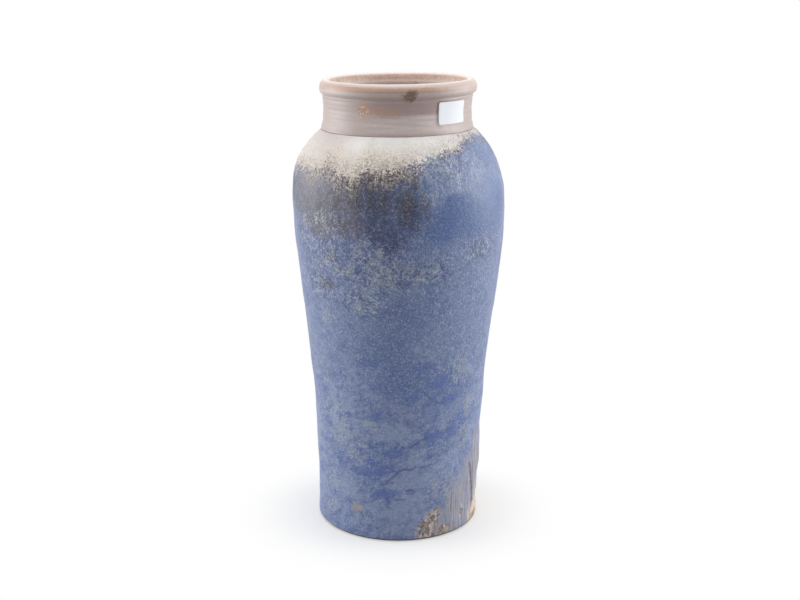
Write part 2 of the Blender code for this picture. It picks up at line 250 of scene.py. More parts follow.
class VaseForm(bpy.types.PropertyGroup):
    """Sizes of the thrown form."""

    foot_radius: length("Foot radius", "Outside of the glaze at the table", 50.1 * MM)
    heel_inset: length("Heel inset", "How far the heel draws in above the foot", 0.4 * MM)
    heel_height: length("Heel height", "Height of the narrowest place", 14 * MM)
    shoulder_height: length("Shoulder height", "From the belly to the root of the neck", 44.4 * MM)
    waist_radius: length("Neck waist", "Narrowest radius of the neck", 43.25 * MM)
    root_flare: length("Root flare", "Root of the neck beyond its waist", 1.4 * MM)
    top_flare: length("Top flare", "Neck under the lip beyond its waist", 0.8 * MM)
    lip_height: length("Lip height", "Height of the rolled lip", 8.1 * MM)
    lip_crest_inset: length("Lip crest inset", "Crest of the lip inside its widest place", 3.7 * MM)
    lip_belly_rise: length("Lip belly rise", "Widest place above the lip's lower edge", 2.6 * MM)
    lip_inner_fall: length("Lip inner fall", "Depth of the lip's inner round", 7 * MM)
    neck_coat_inside: length("Neck glaze inside", "How far the neck glaze runs down inside", 8 * MM)
    body_coat: length("Body glaze", "Thickness of the blue and cream glaze", 0.8 * MM)
    neck_coat: length("Neck glaze", "Thickness of the neck glaze", 0.5 * MM)
    liner_coat: length("Liner glaze", "Thickness of the inside glaze", 0.6 * MM)
    clearance: length("Clearance", "Between pieces that touch", 0.3 * MM)
    body_wall: length("Body wall", "Clay wall of the body", 5.5 * MM)
    collar_wall: length("Collar wall", "Clay wall of the neck", 2.9 * MM)
    floor_thickness: length("Floor", "Thickness of the clay floor", 9 * MM)
    floor_corner: length("Floor corner", "Inside radius between floor and wall", 12 * MM)
    ring_width: length("Foot ring width", "Width of the foot ring", 7 * MM)
    ring_bevel: length("Foot ring bevel", "Bevel of the foot ring's edges", 0.8 * MM)
    spigot_wall: length("Spigot wall", "Wall of the collar's spigot", 2 * MM)
    hem_height: length("Hem height", "Lower edge of the blue glaze above the table", 1.2 * MM)
    bare_height: length("Bare patch height", "Height of the bare clay on the right of the foot", 21 * MM)
    lean: number("Lean", "Tilt of the rim", math.radians(0.5), subtype="ANGLE")
    label_width: length("Label width", "Width of the paper label", 20.5 * MM)
    label_lift: length("Label lift", "How far the label's left edge stands off the neck", 0.25 * MM)


class VaseGlaze(bpy.types.PropertyGroup):
    """Colours and grain of the finishes."""

    blue: colour("Blue", "Body of the blue glaze", 109, 124, 160)
    slate: colour("Slate", "Deeper blue between the crystals", 84, 101, 146)
    crystal: colour("Crystal", "Fine crystals in the blue", 148, 162, 186)
    cobalt: colour("Cobalt", "Pools without crystals", 82, 101, 160)
    seam: colour("Seam", "Thin lines low on the body", 68, 86, 138)
    matt: colour("Matt", "Smooth pale lavender patches", 132, 145, 177)
    olive: colour("Olive", "Coarse crystals and stains", 146, 152, 156)
    navy: colour("Navy", "Thick pool under the fringe", 45, 50, 73)
    umber: colour("Umber", "Iron runs in the pool", 67, 58, 59)
    haze: colour("Haze", "Grey brown haze of the left shoulder", 95, 91, 104)
    frost: colour("Frost", "Pale grey blue of the right shoulder", 152, 163, 186)
    bright: colour("Bright", "Bright blue of the right shoulder", 70, 95, 145)
    # Pale thin cream in streaks and crumbs, and painted shade on the cream towards the sides
    thin_cream_and_side_shade: colour("Thin cream and side shade", "Thin cream, and painted shade on the cream at the sides", 192, 183, 181)
    cream: colour("Cream", "Smooth cream glaze", 238, 236, 233)
    grain: colour("Grain", "Granular fringe", 221, 211, 196)
    gap: colour("Gap", "Between the grains of the fringe", 166, 154, 148)
    ochre: colour("Ochre", "Ochre spots by the foot", 172, 154, 120)
    gloom: colour("Gloom", "Dark run on the right of the foot", 86, 77, 72)
    rust: colour("Rust", "Iron stain by the foot", 112, 90, 76)
    run: colour("Run", "Grey runs on the right of the foot", 150, 144, 149)
    clay: colour("Clay", "Bare fired clay", 210, 196, 182)
    foot: colour("Foot", "Stained clay of the foot ring", 186, 166, 148)
    neck: colour("Neck", "Pinkish grey neck glaze", 211, 198, 194)
    # Browner rings, and also the colour of the painted shade at the neck's root and on its upper front
    neck_shade: colour("Neck shade", "Browner rings of the neck", 162, 143, 140)
    # Painted shade on the neck towards the sides
    neck_side_shade: colour("Neck side shade", "Neck glaze towards the sides", 170, 155, 151)
    # Grey mauve glaze of the lip's lower face, partly painted shade under the lip's roll
    cove: colour("Cove", "Grey mauve of the lip's lower face", 164, 149, 147)
    lip: colour("Lip", "Pale pink of the lip", 202, 186, 180)
    blush: colour("Blush", "Pink of the lip's outer face", 184, 156, 146)
    # Painted highlight along the lip's crest and the far rim
    crest_highlight: colour("Crown", "Pale crest of the lip", 240, 228, 223)
    burn: colour("Burn", "Orange brown where the glaze is thin", 184, 144, 120)
    # Dark iron spots, and also the painted shade in the crease where the lip meets the neck
    scorch: colour("Scorch", "Dark iron spots", 96, 68, 46)
    inside: colour("Inside", "Beige of the inside", 240, 222, 212)
    paper: colour("Paper", "Blank label", 236, 240, 246)
    grain_size: length("Grain size", "Width of the fringe's grains", 0.95 * MM, 0.2 * MM, 5 * MM)
    grain_count: IntProperty(
        name="Grains", description="Loose grains on the fringe", default=3400, min=0, max=9000
    )
    seed: IntProperty(name="Seed", description="Pattern of the grains", default=7, min=0)


class VaseStage(bpy.types.PropertyGroup):
    """Camera, floor and lamps."""

    distance: length("Distance", "Level distance of the camera from the vase", 719.8 * MM, high=5.0)
    height: length("Height", "Height of the camera above the table", 332.2 * MM, high=5.0)
    pitch: number("Pitch", "How far the camera looks down", 0.26564, subtype="ANGLE")
    lens: number("Lens", "Focal length in mm on a 36 mm sensor", 55.15, min=10)
    shift: number("Shift", "Sideways shift of the lens", 0.0025)
    floor_radius: length("Floor radius", "Radius of the pale floor", 1.6, high=10.0)
    side_power: number("Side lamps", "Power of each side lamp", 11.0, unit="POWER")
    top_power: number("Top lamp", "Power of the overhead lamp", 13.0, unit="POWER")
    ambient: number("Ambient", "Plain light from all round", 0.305, min=0, max=2)


def form():
    """Sizes as they are set now."""
    return bpy.context.scene.vase_form


def glaze():
    """Finishes as they are set now."""
    return bpy.context.scene.vase_glaze


# Lines of the cross-section


def cubic(start, start_handle, end_handle, end, steps):
    """Points along a cubic curve, both ends included."""
    t = np.linspace(0.0, 1.0, steps + 1)[:, None]
    u = 1.0 - t
    a, b, c, d = (np.array(corner) for corner in (start, start_handle, end_handle, end))
    return u**3 * a + 3 * u * u * t * b + 3 * u * t * t * c + t**3 * d


def round_corner(centre, across, up, start, end, steps):
    """Points along part of an ellipse between two angles in quarter turns, both ends included."""
    angles = np.linspace(start, end, steps + 1) * math.pi / 2
    return np.column_stack([centre[0] + across * np.cos(angles), centre[1] + up * np.sin(angles)])


def straight(start, end, steps):
    """Evenly spaced points from one place to another, both ends included."""
    return np.linspace(start, end, steps + 1)


def joined(*lines):
    """Lines laid end to end, each without its first point after the first line."""
    return np.vstack([lines[0]] + [line[1:] for line in lines[1:]])


def leftward(line):
    """Mitred normals to the left of a line's direction."""
    steps = np.diff(line, axis=0)
    steps /= np.linalg.norm(steps, axis=1)[:, None]
    normals = np.column_stack([-steps[:, 1], steps[:, 0]])
    before = np.vstack([normals[:1], normals])
    after = np.vstack([normals, normals[-1:]])
    mitre = before + after
    return mitre / np.einsum("ij,ij->i", mitre, after)[:, None]


def offset(line, depth):
    """A line parallel to this one, to the left of its direction."""
    return line + depth * leftward(line)


def between(line, low, high, steps):
    """The stretch of a rising line between two heights, evenly spaced in height."""
    heights = np.linspace(low, high, steps + 1)
    return np.column_stack([np.interp(heights, line[:, 1], line[:, 0]), heights])


def body_line():
    """Outer face of the glazed body, from the table to the root of the neck."""
    size = form()
    heel_radius = size.foot_radius - size.heel_inset
    belly_z = ROOT_Z - size.shoulder_height
    root_radius = size.waist_radius + size.root_flare
    heel = (heel_radius, size.heel_height)
    belly = (BELLY_RADIUS, belly_z)
    foot = (size.foot_radius, 0.0)
    pull = SHOULDER_PULLS[1]
    handle = (root_radius + pull * math.cos(SHOULDER_END_SLOPE), ROOT_Z - pull * math.sin(SHOULDER_END_SLOPE))
    return joined(
        cubic(foot, (foot[0], HEEL_PULL), (heel_radius, size.heel_height - HEEL_PULL), heel, 12),
        cubic(
            heel,
            (heel_radius, size.heel_height + FLANK_PULLS[0]),
            (BELLY_RADIUS, belly_z - FLANK_PULLS[1]),
            belly,
            90,
        ),
        cubic(belly, (BELLY_RADIUS, belly_z + SHOULDER_PULLS[0]), handle, (root_radius, ROOT_Z), 60),
    )


def bore_radius():
    """Clay bore of the collar."""
    size = form()
    return size.waist_radius - size.neck_coat - size.clearance - size.collar_wall


def neck_line():
    """Outer face of the neck glaze, from the root up, over the lip and down inside."""
    size = form()
    lip_z = RIM_Z - size.lip_height
    belly_z = lip_z + size.lip_belly_rise
    crest = LIP_RADIUS - size.lip_crest_inset
    inner = bore_radius() - size.clearance - size.neck_coat
    root = (size.waist_radius + size.root_flare, ROOT_Z + 0.12 * MM)
    top = (size.waist_radius + size.top_flare, lip_z)
    waist = size.waist_radius - (size.root_flare + size.top_flare) / 6
    return joined(
        cubic(root, (waist, root[1] + NECK_PULLS[0]), (waist, lip_z - NECK_PULLS[1]), top, NECK_STEPS),
        round_corner((top[0], belly_z), LIP_RADIUS - top[0], size.lip_belly_rise, -1, 0, LIP_STEPS),
        round_corner((crest, belly_z), size.lip_crest_inset, RIM_Z - belly_z, 0, 1, CREST_STEPS),
        round_corner((crest, RIM_Z - size.lip_inner_fall), crest - inner, size.lip_inner_fall, 1, 2, 26),
        straight((inner, RIM_Z - size.lip_inner_fall), (inner, RIM_Z - size.neck_coat_inside), 4),
    )


def clay_line():
    """Clay under the body's glaze."""
    size = form()
    return offset(body_line(), size.body_coat + size.clearance)


def mouth_radius():
    """Bore of the body's mouth, which the collar's spigot fills."""
    size = form()
    return bore_radius() + size.spigot_wall + size.clearance


def hollow_line():
    """Inside of the body's wall, from the axis out over the floor and up to the mouth."""
    size = form()
    wall = offset(clay_line(), size.body_wall)
    floor_z = RING_HEIGHT + size.clearance + size.floor_thickness
    corner_z = floor_z + size.floor_corner
    centre = (float(np.interp(corner_z, wall[:, 1], wall[:, 0])) - size.floor_corner, corner_z)
    falling = wall[wall[:, 1] > ROOT_Z - size.shoulder_height][::-1]
    mouth_z = float(np.interp(mouth_radius(), falling[:, 0], falling[:, 1]))
    return joined(
        straight((0.0, floor_z), (centre[0], floor_z), 16),
        round_corner(centre, size.floor_corner, size.floor_corner, -1, 0, 10),
        between(wall, corner_z, mouth_z, 90),
    )


# Fields over the surface


def eased(values, knots):
    """Values read off a smooth line through (place, level) knots."""
    places, levels = np.array(knots, float).T
    values = np.clip(values, places[0], places[-1])
    i = np.clip(np.searchsorted(places, values, side="right") - 1, 0, len(places) - 2)
    share = (values - places[i]) / (places[i + 1] - places[i])
    return levels[i] + (levels[i + 1] - levels[i]) * share * share * (3 - 2 * share)


def smooth(values, low, high):
    """A smooth step from 0 at low to 1 at high."""
    share = np.clip((values - low) / (high - low), 0.0, 1.0)
    return share * share * (3 - 2 * share)


def lattice(cell, seed):
    """An even random number between -1 and 1 for each whole-number cell."""
    mixed = cell[..., 0] * 73856093 ^ cell[..., 1] * 19349663 ^ cell[..., 2] * 83492791
    mixed = mixed ^ (seed + 1) * 2654435761
    mixed = (mixed ^ (mixed >> 15)) * 2246822519 & 0xFFFFFFFF
    mixed = (mixed ^ (mixed >> 13)) * 3266489917 & 0xFFFFFFFF
    return ((mixed ^ (mixed >> 16)) & 0xFFFFFF) / 0x7FFFFF - 1


def cloud(places, size, seed=0):
    """Smooth random values between about -1 and 1, with features of a size."""
    scaled = places / size
    cell = np.floor(scaled).astype(np.int64)
    share = scaled - cell
    share = share * share * (3 - 2 * share)
    total = 0.0
    for step in np.ndindex(2, 2, 2):
        weight = np.prod(np.where(step, share, 1 - share), axis=-1)
        total = total + weight * lattice(cell + step, seed)
    return total


def rough(places, size, seed=0):
    """Random values with features of a size and finer ones on them."""
    return sum(cloud(places, size / 2**i, seed + i) / 1.7**i for i in range(3)) / 1.6


def turn_from(azimuth, degrees):
    """Signed turn from an azimuth given in degrees, up to half a turn either way."""
    return (azimuth - math.radians(degrees) + math.pi) % math.tau - math.pi


def bearing(azimuth):
    """Azimuth in degrees between -180 and 180."""
    return np.degrees(turn_from(azimuth, 0))


def facing(azimuth, degrees, low, high):
    """A smooth step over the turn away from an azimuth, from 0 at low to 1 at high, all in degrees."""
    return smooth(np.abs(turn_from(azimuth, degrees)), math.radians(low), math.radians(high))


def at(azimuth, radius, height):
    """Points in space at azimuths, radii and heights."""
    azimuth, radius, height = np.broadcast_arrays(azimuth, radius, height)
    return np.stack([radius * np.sin(azimuth), -radius * np.cos(azimuth), height], axis=-1)


def patches(azimuth, radius, height, marks, ragged=1.0, seed=0):
    """Strength between 0 and 1 of a set of marks whose outlines wander."""
    places = at(azimuth, radius, height)

    def wander(amount, first):
        fine = 0.8 * MM * cloud(places, 2.6 * MM, first + 3)
        return ragged * (amount * MM * rough(places, 8 * MM, first) + fine)

    aside = wander(2.6, seed)
    aloft = wander(2.0, seed + 5)
    strength = np.zeros(places.shape[:-1])
    for degrees, centre, half_width, half_height, *rise in marks:
        across = (turn_from(azimuth, degrees) * radius + aside) / (half_width * MM)
        up = (height + aloft - (centre + sum(rise) * across) * MM) / (half_height * MM)
        strength = np.maximum(strength, smooth(np.hypot(across, up), 1.5, 0.35))
    return strength


def nearness(azimuth, radius, height, paths):
    """Distance over the surface to the nearest of some paths, in metres."""
    nearest = np.full(np.broadcast(azimuth, height).shape, 0.02)
    for path in paths:
        for (start_turn, start_z), (end_turn, end_z) in zip(path, path[1:]):
            across = turn_from(azimuth, start_turn) * radius
            up = height - start_z * MM
            run = np.array([math.radians(end_turn - start_turn) * PATH_RADIUS, (end_z - start_z) * MM])
            share = np.clip((across * run[0] + up * run[1]) / (run @ run), 0, 1)
            nearest = np.minimum(nearest, np.hypot(across - share * run[0], up - share * run[1]))
    return nearest


def behind(azimuth):
    """0 on the side that was photographed and 1 on the far side."""
    return facing(azimuth, 8, 62, 98)


def fringe_height(azimuth):
    """Height where the blue glaze gives way to the cream one."""
    turns, levels = zip(*FRINGE)
    level = np.interp(bearing(azimuth), turns, levels) * MM
    places = at(azimuth, FRINGE_NOISE_RADIUS, 0.0)
    drips = 1.5 * MM * cloud(places, 6 * MM, 31) + 0.7 * MM * cloud(places, 2.4 * MM, 32)
    return np.minimum(level + drips, ROOT_Z - 0.9 * MM)


def hem_height(azimuth):
    """Lower edge of the blue glaze, which leaves the clay bare on the right of the foot."""
    size = form()
    ragged = 1.6 * MM * rough(at(azimuth, 0.05, 0.0), 6 * MM, 41)
    share = eased(bearing(azimuth), BARE_EDGE)
    return size.hem_height + share * (size.bare_height + 2 * ragged) + 0.25 * ragged * (1 - share) * 0.3


def thin_share(azimuth, radius, height):
    """1 where the blue glaze ran off and left a thin skin, over the bare patch on the right."""
    level = eased(bearing(azimuth), THIN_EDGE) * MM + 2.4 * MM * rough(at(azimuth, radius, 0.0), 5 * MM, 51)
    return smooth(height, level + 3 * MM, level - 2 * MM)


def rolled_share(azimuth, height):
    """1 where the blue glaze gathered in a thick roll above the thin skin on the right."""
    level = eased(bearing(azimuth), THIN_EDGE) * MM
    window = facing(azimuth, 92, 38, 16)
    lower_edge = smooth(height, level - 1 * MM, level + 6 * MM)
    return window * lower_edge * smooth(height, level + 32 * MM, level + 14 * MM)


def body_relief(azimuth, radius, height):
    """How far the glaze stands proud of the body's line."""
    places = at(azimuth, radius, height)
    above = height - fringe_height(azimuth)
    drawn = places * (1, 1, 0.14)
    near_fringe = smooth(above, -5 * MM, 0) * smooth(above, 12 * MM, 4 * MM)
    greys = patches(azimuth, radius, height, GREYS, seed=5)
    rings = 0.07 * MM * np.sin(height / (5.3 * MM) + 0.6 * np.sin(azimuth + 9 * height / RIM_Z))
    lumps = 0.10 * MM * cloud(places, 9 * MM, 61) + 0.06 * MM * cloud(places, 3.2 * MM, 62)
    crumbs = 0.16 * MM * near_fringe * cloud(places, 2.2 * MM, 63)
    runs = 0.16 * MM * np.maximum(greys, 0.4 * smooth(above, -22 * MM, -4 * MM)) * cloud(drawn, 2.6 * MM, 64)
    runs += 0.25 * MM * smooth(nearness(azimuth, radius, height, GLINTS), 1.6 * MM, 0)
    thin = 0.12 * MM * thin_share(azimuth, radius, height)
    return rings + lumps + crumbs + runs - thin + 0.8 * MM * rolled_share(azimuth, height)


def body_marks(azimuth, radius, height):
    """Named strengths that the body's finish reads, for each point."""
    places = at(azimuth, radius, height)
    far = behind(azimuth)
    upper = smooth(height, 175 * MM, 195 * MM)
    lower = smooth(height, 125 * MM, 95 * MM)
    here = (azimuth, radius, height)

    def wild(size, low, high, seed):
        return far * smooth(rough(places, size * MM, seed), low, high)

    def placed(marks, seed, elsewhere=0.0, ragged=1.0):
        return np.maximum(patches(azimuth, radius, height, marks, ragged, seed), elsewhere)

    below = fringe_height(azimuth) - height
    run_off = smooth(below, 32 * MM, 4 * MM)
    reach = MM * eased(bearing(azimuth), GRAIN_REACH)
    gathered = rolled_share(azimuth, height)
    by_foot = smooth(height, 40 * MM, 20 * MM)
    far_runs = run_off * far * smooth(cloud(places * (1, 1, 0.12), 4 * MM, 6), 0.2, 0.6)
    middle = smooth(height, 128 * MM, 168 * MM) * smooth(height, 212 * MM, 182 * MM)
    brink = smooth(below, 14 * MM, 2 * MM) * facing(azimuth, -24, 46, 28)
    teeth = smooth(below, 6 * MM, MM) * facing(azimuth, 44, 28, 14)
    brink = np.maximum(brink, 0.75 * teeth)
    return {
        "above_fringe": -below,
        "grained": smooth(-below, 1.6 * reach, 0.4 * reach),
        "ragged": np.clip(reach / (10 * MM), 0.5, 1.1),
        "low": lower,
        "pool": placed(POOLS, 1, wild(26, 0.05, 0.4, 2) * run_off),
        "haze": placed(HAZES, 3, wild(30, 0.0, 0.4, 4) * run_off),
        "runs": placed(RUNS, 5, far_runs, 0.9),
        "bright": placed(BRIGHTS, 7, wild(24, 0.1, 0.5, 8) * upper),
        "frost": placed(FROSTS, 25, wild(22, 0.2, 0.6, 26) * upper),
        "deep": placed(DEEPS, 27),
        "zone": placed(ZONES, 21, 0.9 * wild(34, -0.2, 0.4, 22) * middle),
        "brink": np.maximum(brink, far * smooth(below, 13 * MM, 2 * MM) * wild(16, -0.2, 0.3, 23)),
        # Painted shade: strength towards the sides, where the cream and the haze are darkened
        "side": facing(azimuth, 4, 22, 58),
        "coarse": placed(COARSE, 9, wild(11, 0.15, 0.6, 10) * middle, 0.8),
        "cobalt": placed(COBALTS, 11, wild(12, 0.25, 0.6, 12) * lower, 0.9),
        "matt": placed(MATTS, 13, wild(20, 0.1, 0.45, 14) * lower, 0.9),
        "stain": placed(STAINS, 15, wild(14, 0.3, 0.8, 16), 1.1),
        "ochre": placed(OCHRES, 17, wild(9, 0.45, 0.8, 18) * by_foot, 0.5),
        "rust": placed(RUSTS, 19, ragged=0.5),
        "greys": placed(GREYS, 5, 0.4 * smooth(gathered, 0.2, 0.9), 0.8),
        "thin": thin_share(*here),
        "crack": nearness(*here, CRACKS),
        "streak": nearness(*here, STREAKS),
        "glint": nearness(*here, GLINTS),
    }


def as_thrown(places):
    """Points moved as the wheel left them: the axis sways and the rim leans."""
    x, y, z = np.moveaxis(places, -1, 0)
    lean = math.tan(form().lean) * smooth(z, 0.19, 0.25)
    shift = eased(z / MM, SWAY) * MM
    return np.stack([x + shift, y, z + lean * x], axis=-1)


# Meshes


def around(columns):
    """Azimuths of the columns of a mesh, as a column of numbers."""
    return (np.arange(columns) * math.tau / columns)[:, None]


def linked(name, mesh, finish):
    """A new object with its mesh and its finish in the scene."""
    mesh.materials.append(finish)
    piece = bpy.data.objects.new(name, mesh)
    bpy.context.scene.collection.objects.link(piece)
    return piece


def stored(mesh, marks):
    """Keeps named strengths on a mesh, one for each of its points."""
    for name, values in marks.items():
        layer = mesh.attributes.new(name, "FLOAT", "POINT")
        layer.data.foreach_set("value", np.ascontiguousarray(values, np.float32).ravel())


def shell(name, section, finish, marks=None):
    """A closed body round the axis, from its cross-section at each azimuth as (radius, height) rows.

    The section runs up the outside and down the inside. It closes on itself, or on the axis where it starts
    there.
    """
    columns, rows = section.shape[:2]
    places = as_thrown(at(around(columns), section[..., 0], section[..., 1]))
    on_axis = bool(section[0, 0, 0] < 1e-9)
    index = np.arange(columns * rows).reshape(columns, rows)
    if on_axis:
        index[:, 0] = 0
        index[:, -1] = rows - 1
    ahead = np.roll(index, -1, axis=0)
    last = rows - 1 if on_axis else rows
    faces = []
    for j in range(last):
        k = (j + 1) % rows
        quad = np.stack([index[:, j], ahead[:, j], ahead[:, k], index[:, k]], axis=1)
        if on_axis and j == 0:
            quad = quad[:, [0, 2, 3]]
        elif on_axis and k == rows - 1:
            quad = quad[:, [0, 1, 2]]
        faces += quad.tolist()
    mesh = bpy.data.meshes.new(name)
    mesh.from_pydata(places.reshape(-1, 3).tolist(), [], faces)
    stored(mesh, {mark: np.broadcast_to(values, (columns, rows)) for mark, values in (marks or {}).items()})
    if on_axis:
        drop_loose(mesh)
    mesh.shade_smooth()
    mesh.set_sharp_from_angle(angle=SHARP)
    return linked(name, mesh, finish)


def drop_loose(mesh):
    """Removes the vertices that no face uses."""
    body = bmesh.new()
    body.from_mesh(mesh)
    bmesh.ops.delete(body, geom=[v for v in body.verts if not v.link_faces], context="VERTS")
    body.to_mesh(mesh)
    body.free()


def settle(piece, slot, *nodes):
    """Fixes a finished piece to the vase and lets it stand for its solids."""
    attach(piece, BODY)
    if nodes:
        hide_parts(*nodes)


def run_of(line):
    """Distance along a line at each of its points."""
    return np.concatenate([[0.0], np.cumsum(np.linalg.norm(np.diff(line, axis=0), axis=1))])


def read_off(values, run, along):
    """Rows of two values each, read off at distances along a line."""
    return np.stack([np.interp(along, run, values[:, i]) for i in (0, 1)], axis=-1)


def coat_section(line, thickness, start, end, shares, back_rows, relief):
    """Cross-section of a coat between two places along a line, at each azimuth.

    The first and last rows thin out to the back where relief says so. shares are the rows between 0 and 1.
    """
    run = run_of(line)
    normal = -leftward(line)
    along = start + (end - start) * shares
    face = read_off(line, run, along)
    face = face + read_off(normal, run, along) * relief(face[..., 0], face[..., 1], along)[..., None]
    along = start + (end - start) * np.linspace(1, 0, back_rows)
    back = read_off(line, run, along) - thickness * read_off(normal, run, along)
    return np.concatenate([face, back], axis=1)


def turned_section(outline):
    """The same cross-section at every azimuth."""
    return np.tile(outline, (PLAIN, 1, 1))


def rolled(relief, skin, rise):
    """Relief over a skin, whose edge rounds down to the back where rise falls from 1 to 0."""
    share = np.sqrt(np.clip(1 - (1 - np.clip(rise, 0, 1)) ** 2, 0, 1))
    return (relief + skin) * share - skin


# Finishes


def feed(socket, value):
    """Links a value to a socket, or sets it there where it is a plain number, place or colour."""
    if isinstance(value, bpy.types.NodeSocket):
        socket.id_data.links.new(value, socket)
    elif socket.type == "RGBA" and not isinstance(value, float):
        socket.default_value = (*value, 1.0)
    else:
        socket.default_value = value


def laid(tree, kind, inputs=None, **settings):
    """Outputs of a new node, with its settings made and its inputs fed by name or number."""
    node = tree.nodes.new(kind)
    for name, value in settings.items():
        setattr(node, name, value)
    for name, value in (inputs or {}).items():
        feed(node.inputs[name], value)
    return node.outputs


class Brush:
    """Lays the shader nodes of one finish and links them as it goes."""

    def __init__(self, name):
        self.finish = bpy.data.materials.new(name)
        self.finish.use_nodes = True
        self.tree = self.finish.node_tree
        self.shader = self.tree.nodes["Principled BSDF"]
        self.place = laid(self.tree, "ShaderNodeTexCoord")["Object"]
        self.colour = None

    def mark(self, name):
        """A strength stored on the mesh."""
        return laid(self.tree, "ShaderNodeAttribute", attribute_name=name)["Fac"]

    def maths(self, operation, *values):
        """Arithmetic on values."""
        return laid(self.tree, "ShaderNodeMath", dict(enumerate(values)), operation=operation)[0]

    def times(self, *values):
        """Product of values."""
        return functools.reduce(functools.partial(self.maths, "MULTIPLY"), values)

    def plus(self, *values):
        """Sum of values."""
        return functools.reduce(functools.partial(self.maths, "ADD"), values)

    def most(self, *values):
        """Largest of values."""
        return functools.reduce(functools.partial(self.maths, "MAXIMUM"), values)

    def rest(self, value):
        """What a value lacks to 1."""
        return self.maths("SUBTRACT", 1.0, value)

    def step(self, value, low, high, to_low=0.0, to_high=1.0):
        """A smooth step between two levels."""
        if low > high:
            low, high, to_low, to_high = high, low, to_high, to_low
        inputs = {"Value": value, "From Min": low, "From Max": high, "To Min": to_low, "To Max": to_high}
        return laid(self.tree, "ShaderNodeMapRange", inputs, interpolation_type="SMOOTHSTEP")["Result"]

    def blend(self, share, first, second):
        """A colour between two, by a share."""
        return laid(self.tree, "ShaderNodeMix", {0: share, 6: first, 7: second}, data_type="RGBA")[2]

    def over(self, base, top, *shares):
        """A colour laid over another one by the product of shares."""
        return self.blend(self.times(*shares), base, top)

    def lay(self, top, *shares):
        """Lays a colour over the finish so far."""
        self.colour = self.over(self.colour, top, *shares)

    def speckle(self, pattern, amount, hue):
        """Speckles the finish so far."""
        self.colour = self.speckled(self.colour, pattern, amount, hue)

    def about(self, pattern, *amounts):
        """How far a pattern lies above or below its middle, times amounts."""
        return self.times(self.plus(pattern, -0.5), *amounts)

    def random(self, size, detail=3.0, roughness=0.6, twist=0.0, across=1.0, up=1.0, tilt=0.0):
        """Soft random pattern with features of a size. Fac is its level and Color its colours.

        It is scaled across and up after a tilt in degrees about the depth axis.
        """
        vector = self.place
        if not across == up == 1.0:
            turn = (0.0, -math.radians(tilt), 0.0)
            inputs = {"Vector": vector, "Rotation": turn, "Scale": (1 / across, 1 / across, 1 / up)}
            vector = laid(self.tree, "ShaderNodeMapping", inputs, vector_type="TEXTURE")["Vector"]
        grain = {"Scale": 1 / size, "Detail": detail, "Roughness": roughness, "Distortion": twist}
        return laid(self.tree, "ShaderNodeTexNoise", {"Vector": vector, **grain})

    def noise(self, size, *details, **more):
        """Level of a soft random pattern with features of a size, between 0 and 1."""
        return self.random(size, *details, **more)["Fac"]

    def vectors(self, operation, *values):
        """Arithmetic on colours or vectors."""
        return laid(self.tree, "ShaderNodeVectorMath", dict(enumerate(values)), operation=operation)["Vector"]

    def speckled(self, colour, pattern, amount, hue):
        """A colour made lighter and darker by a pattern, and shifted in hue by a share."""
        shift = self.vectors("SUBTRACT", self.blend(hue, pattern["Fac"], pattern["Color"]), (0.5, 0.5, 0.5))
        amounts = laid(self.tree, "ShaderNodeCombineXYZ", dict.fromkeys("XYZ", amount))[0]
        factor = self.vectors("MULTIPLY_ADD", shift, amounts, (1.0, 1.0, 1.0))
        return self.vectors("MULTIPLY", colour, self.vectors("MAXIMUM", factor, (0.0, 0.0, 0.0)))

    def cells(self, size):
        """Distance to the nearest of scattered points, in units of their spacing."""
        return laid(self.tree, "ShaderNodeTexVoronoi", {"Vector": self.place, "Scale": 1 / size})["Distance"]

    def frayed(self, strength, pattern, amount=0.9, soft=0.18):
        """A mark with its edge broken up by a pattern."""
        shifted = self.plus(strength, self.about(pattern, amount))
        return self.times(self.step(shifted, 0.5 - soft, 0.5 + soft), self.step(strength, 0.0, 0.25))

    def bump(self, height, depth, base=None):
        """Fine relief of a depth in metres, on top of another one."""
        under = {"Normal": base} if base else {}
        return laid(self.tree, "ShaderNodeBump", {"Distance": depth, "Height": height, **under})["Normal"]

    def finished(self, roughness, normal):
        """The material, with its shader fed."""
        for name, value in (("Base Color", self.colour), ("Roughness", roughness), ("Normal", normal)):
            feed(self.shader.inputs[name], value)
        return self.finish


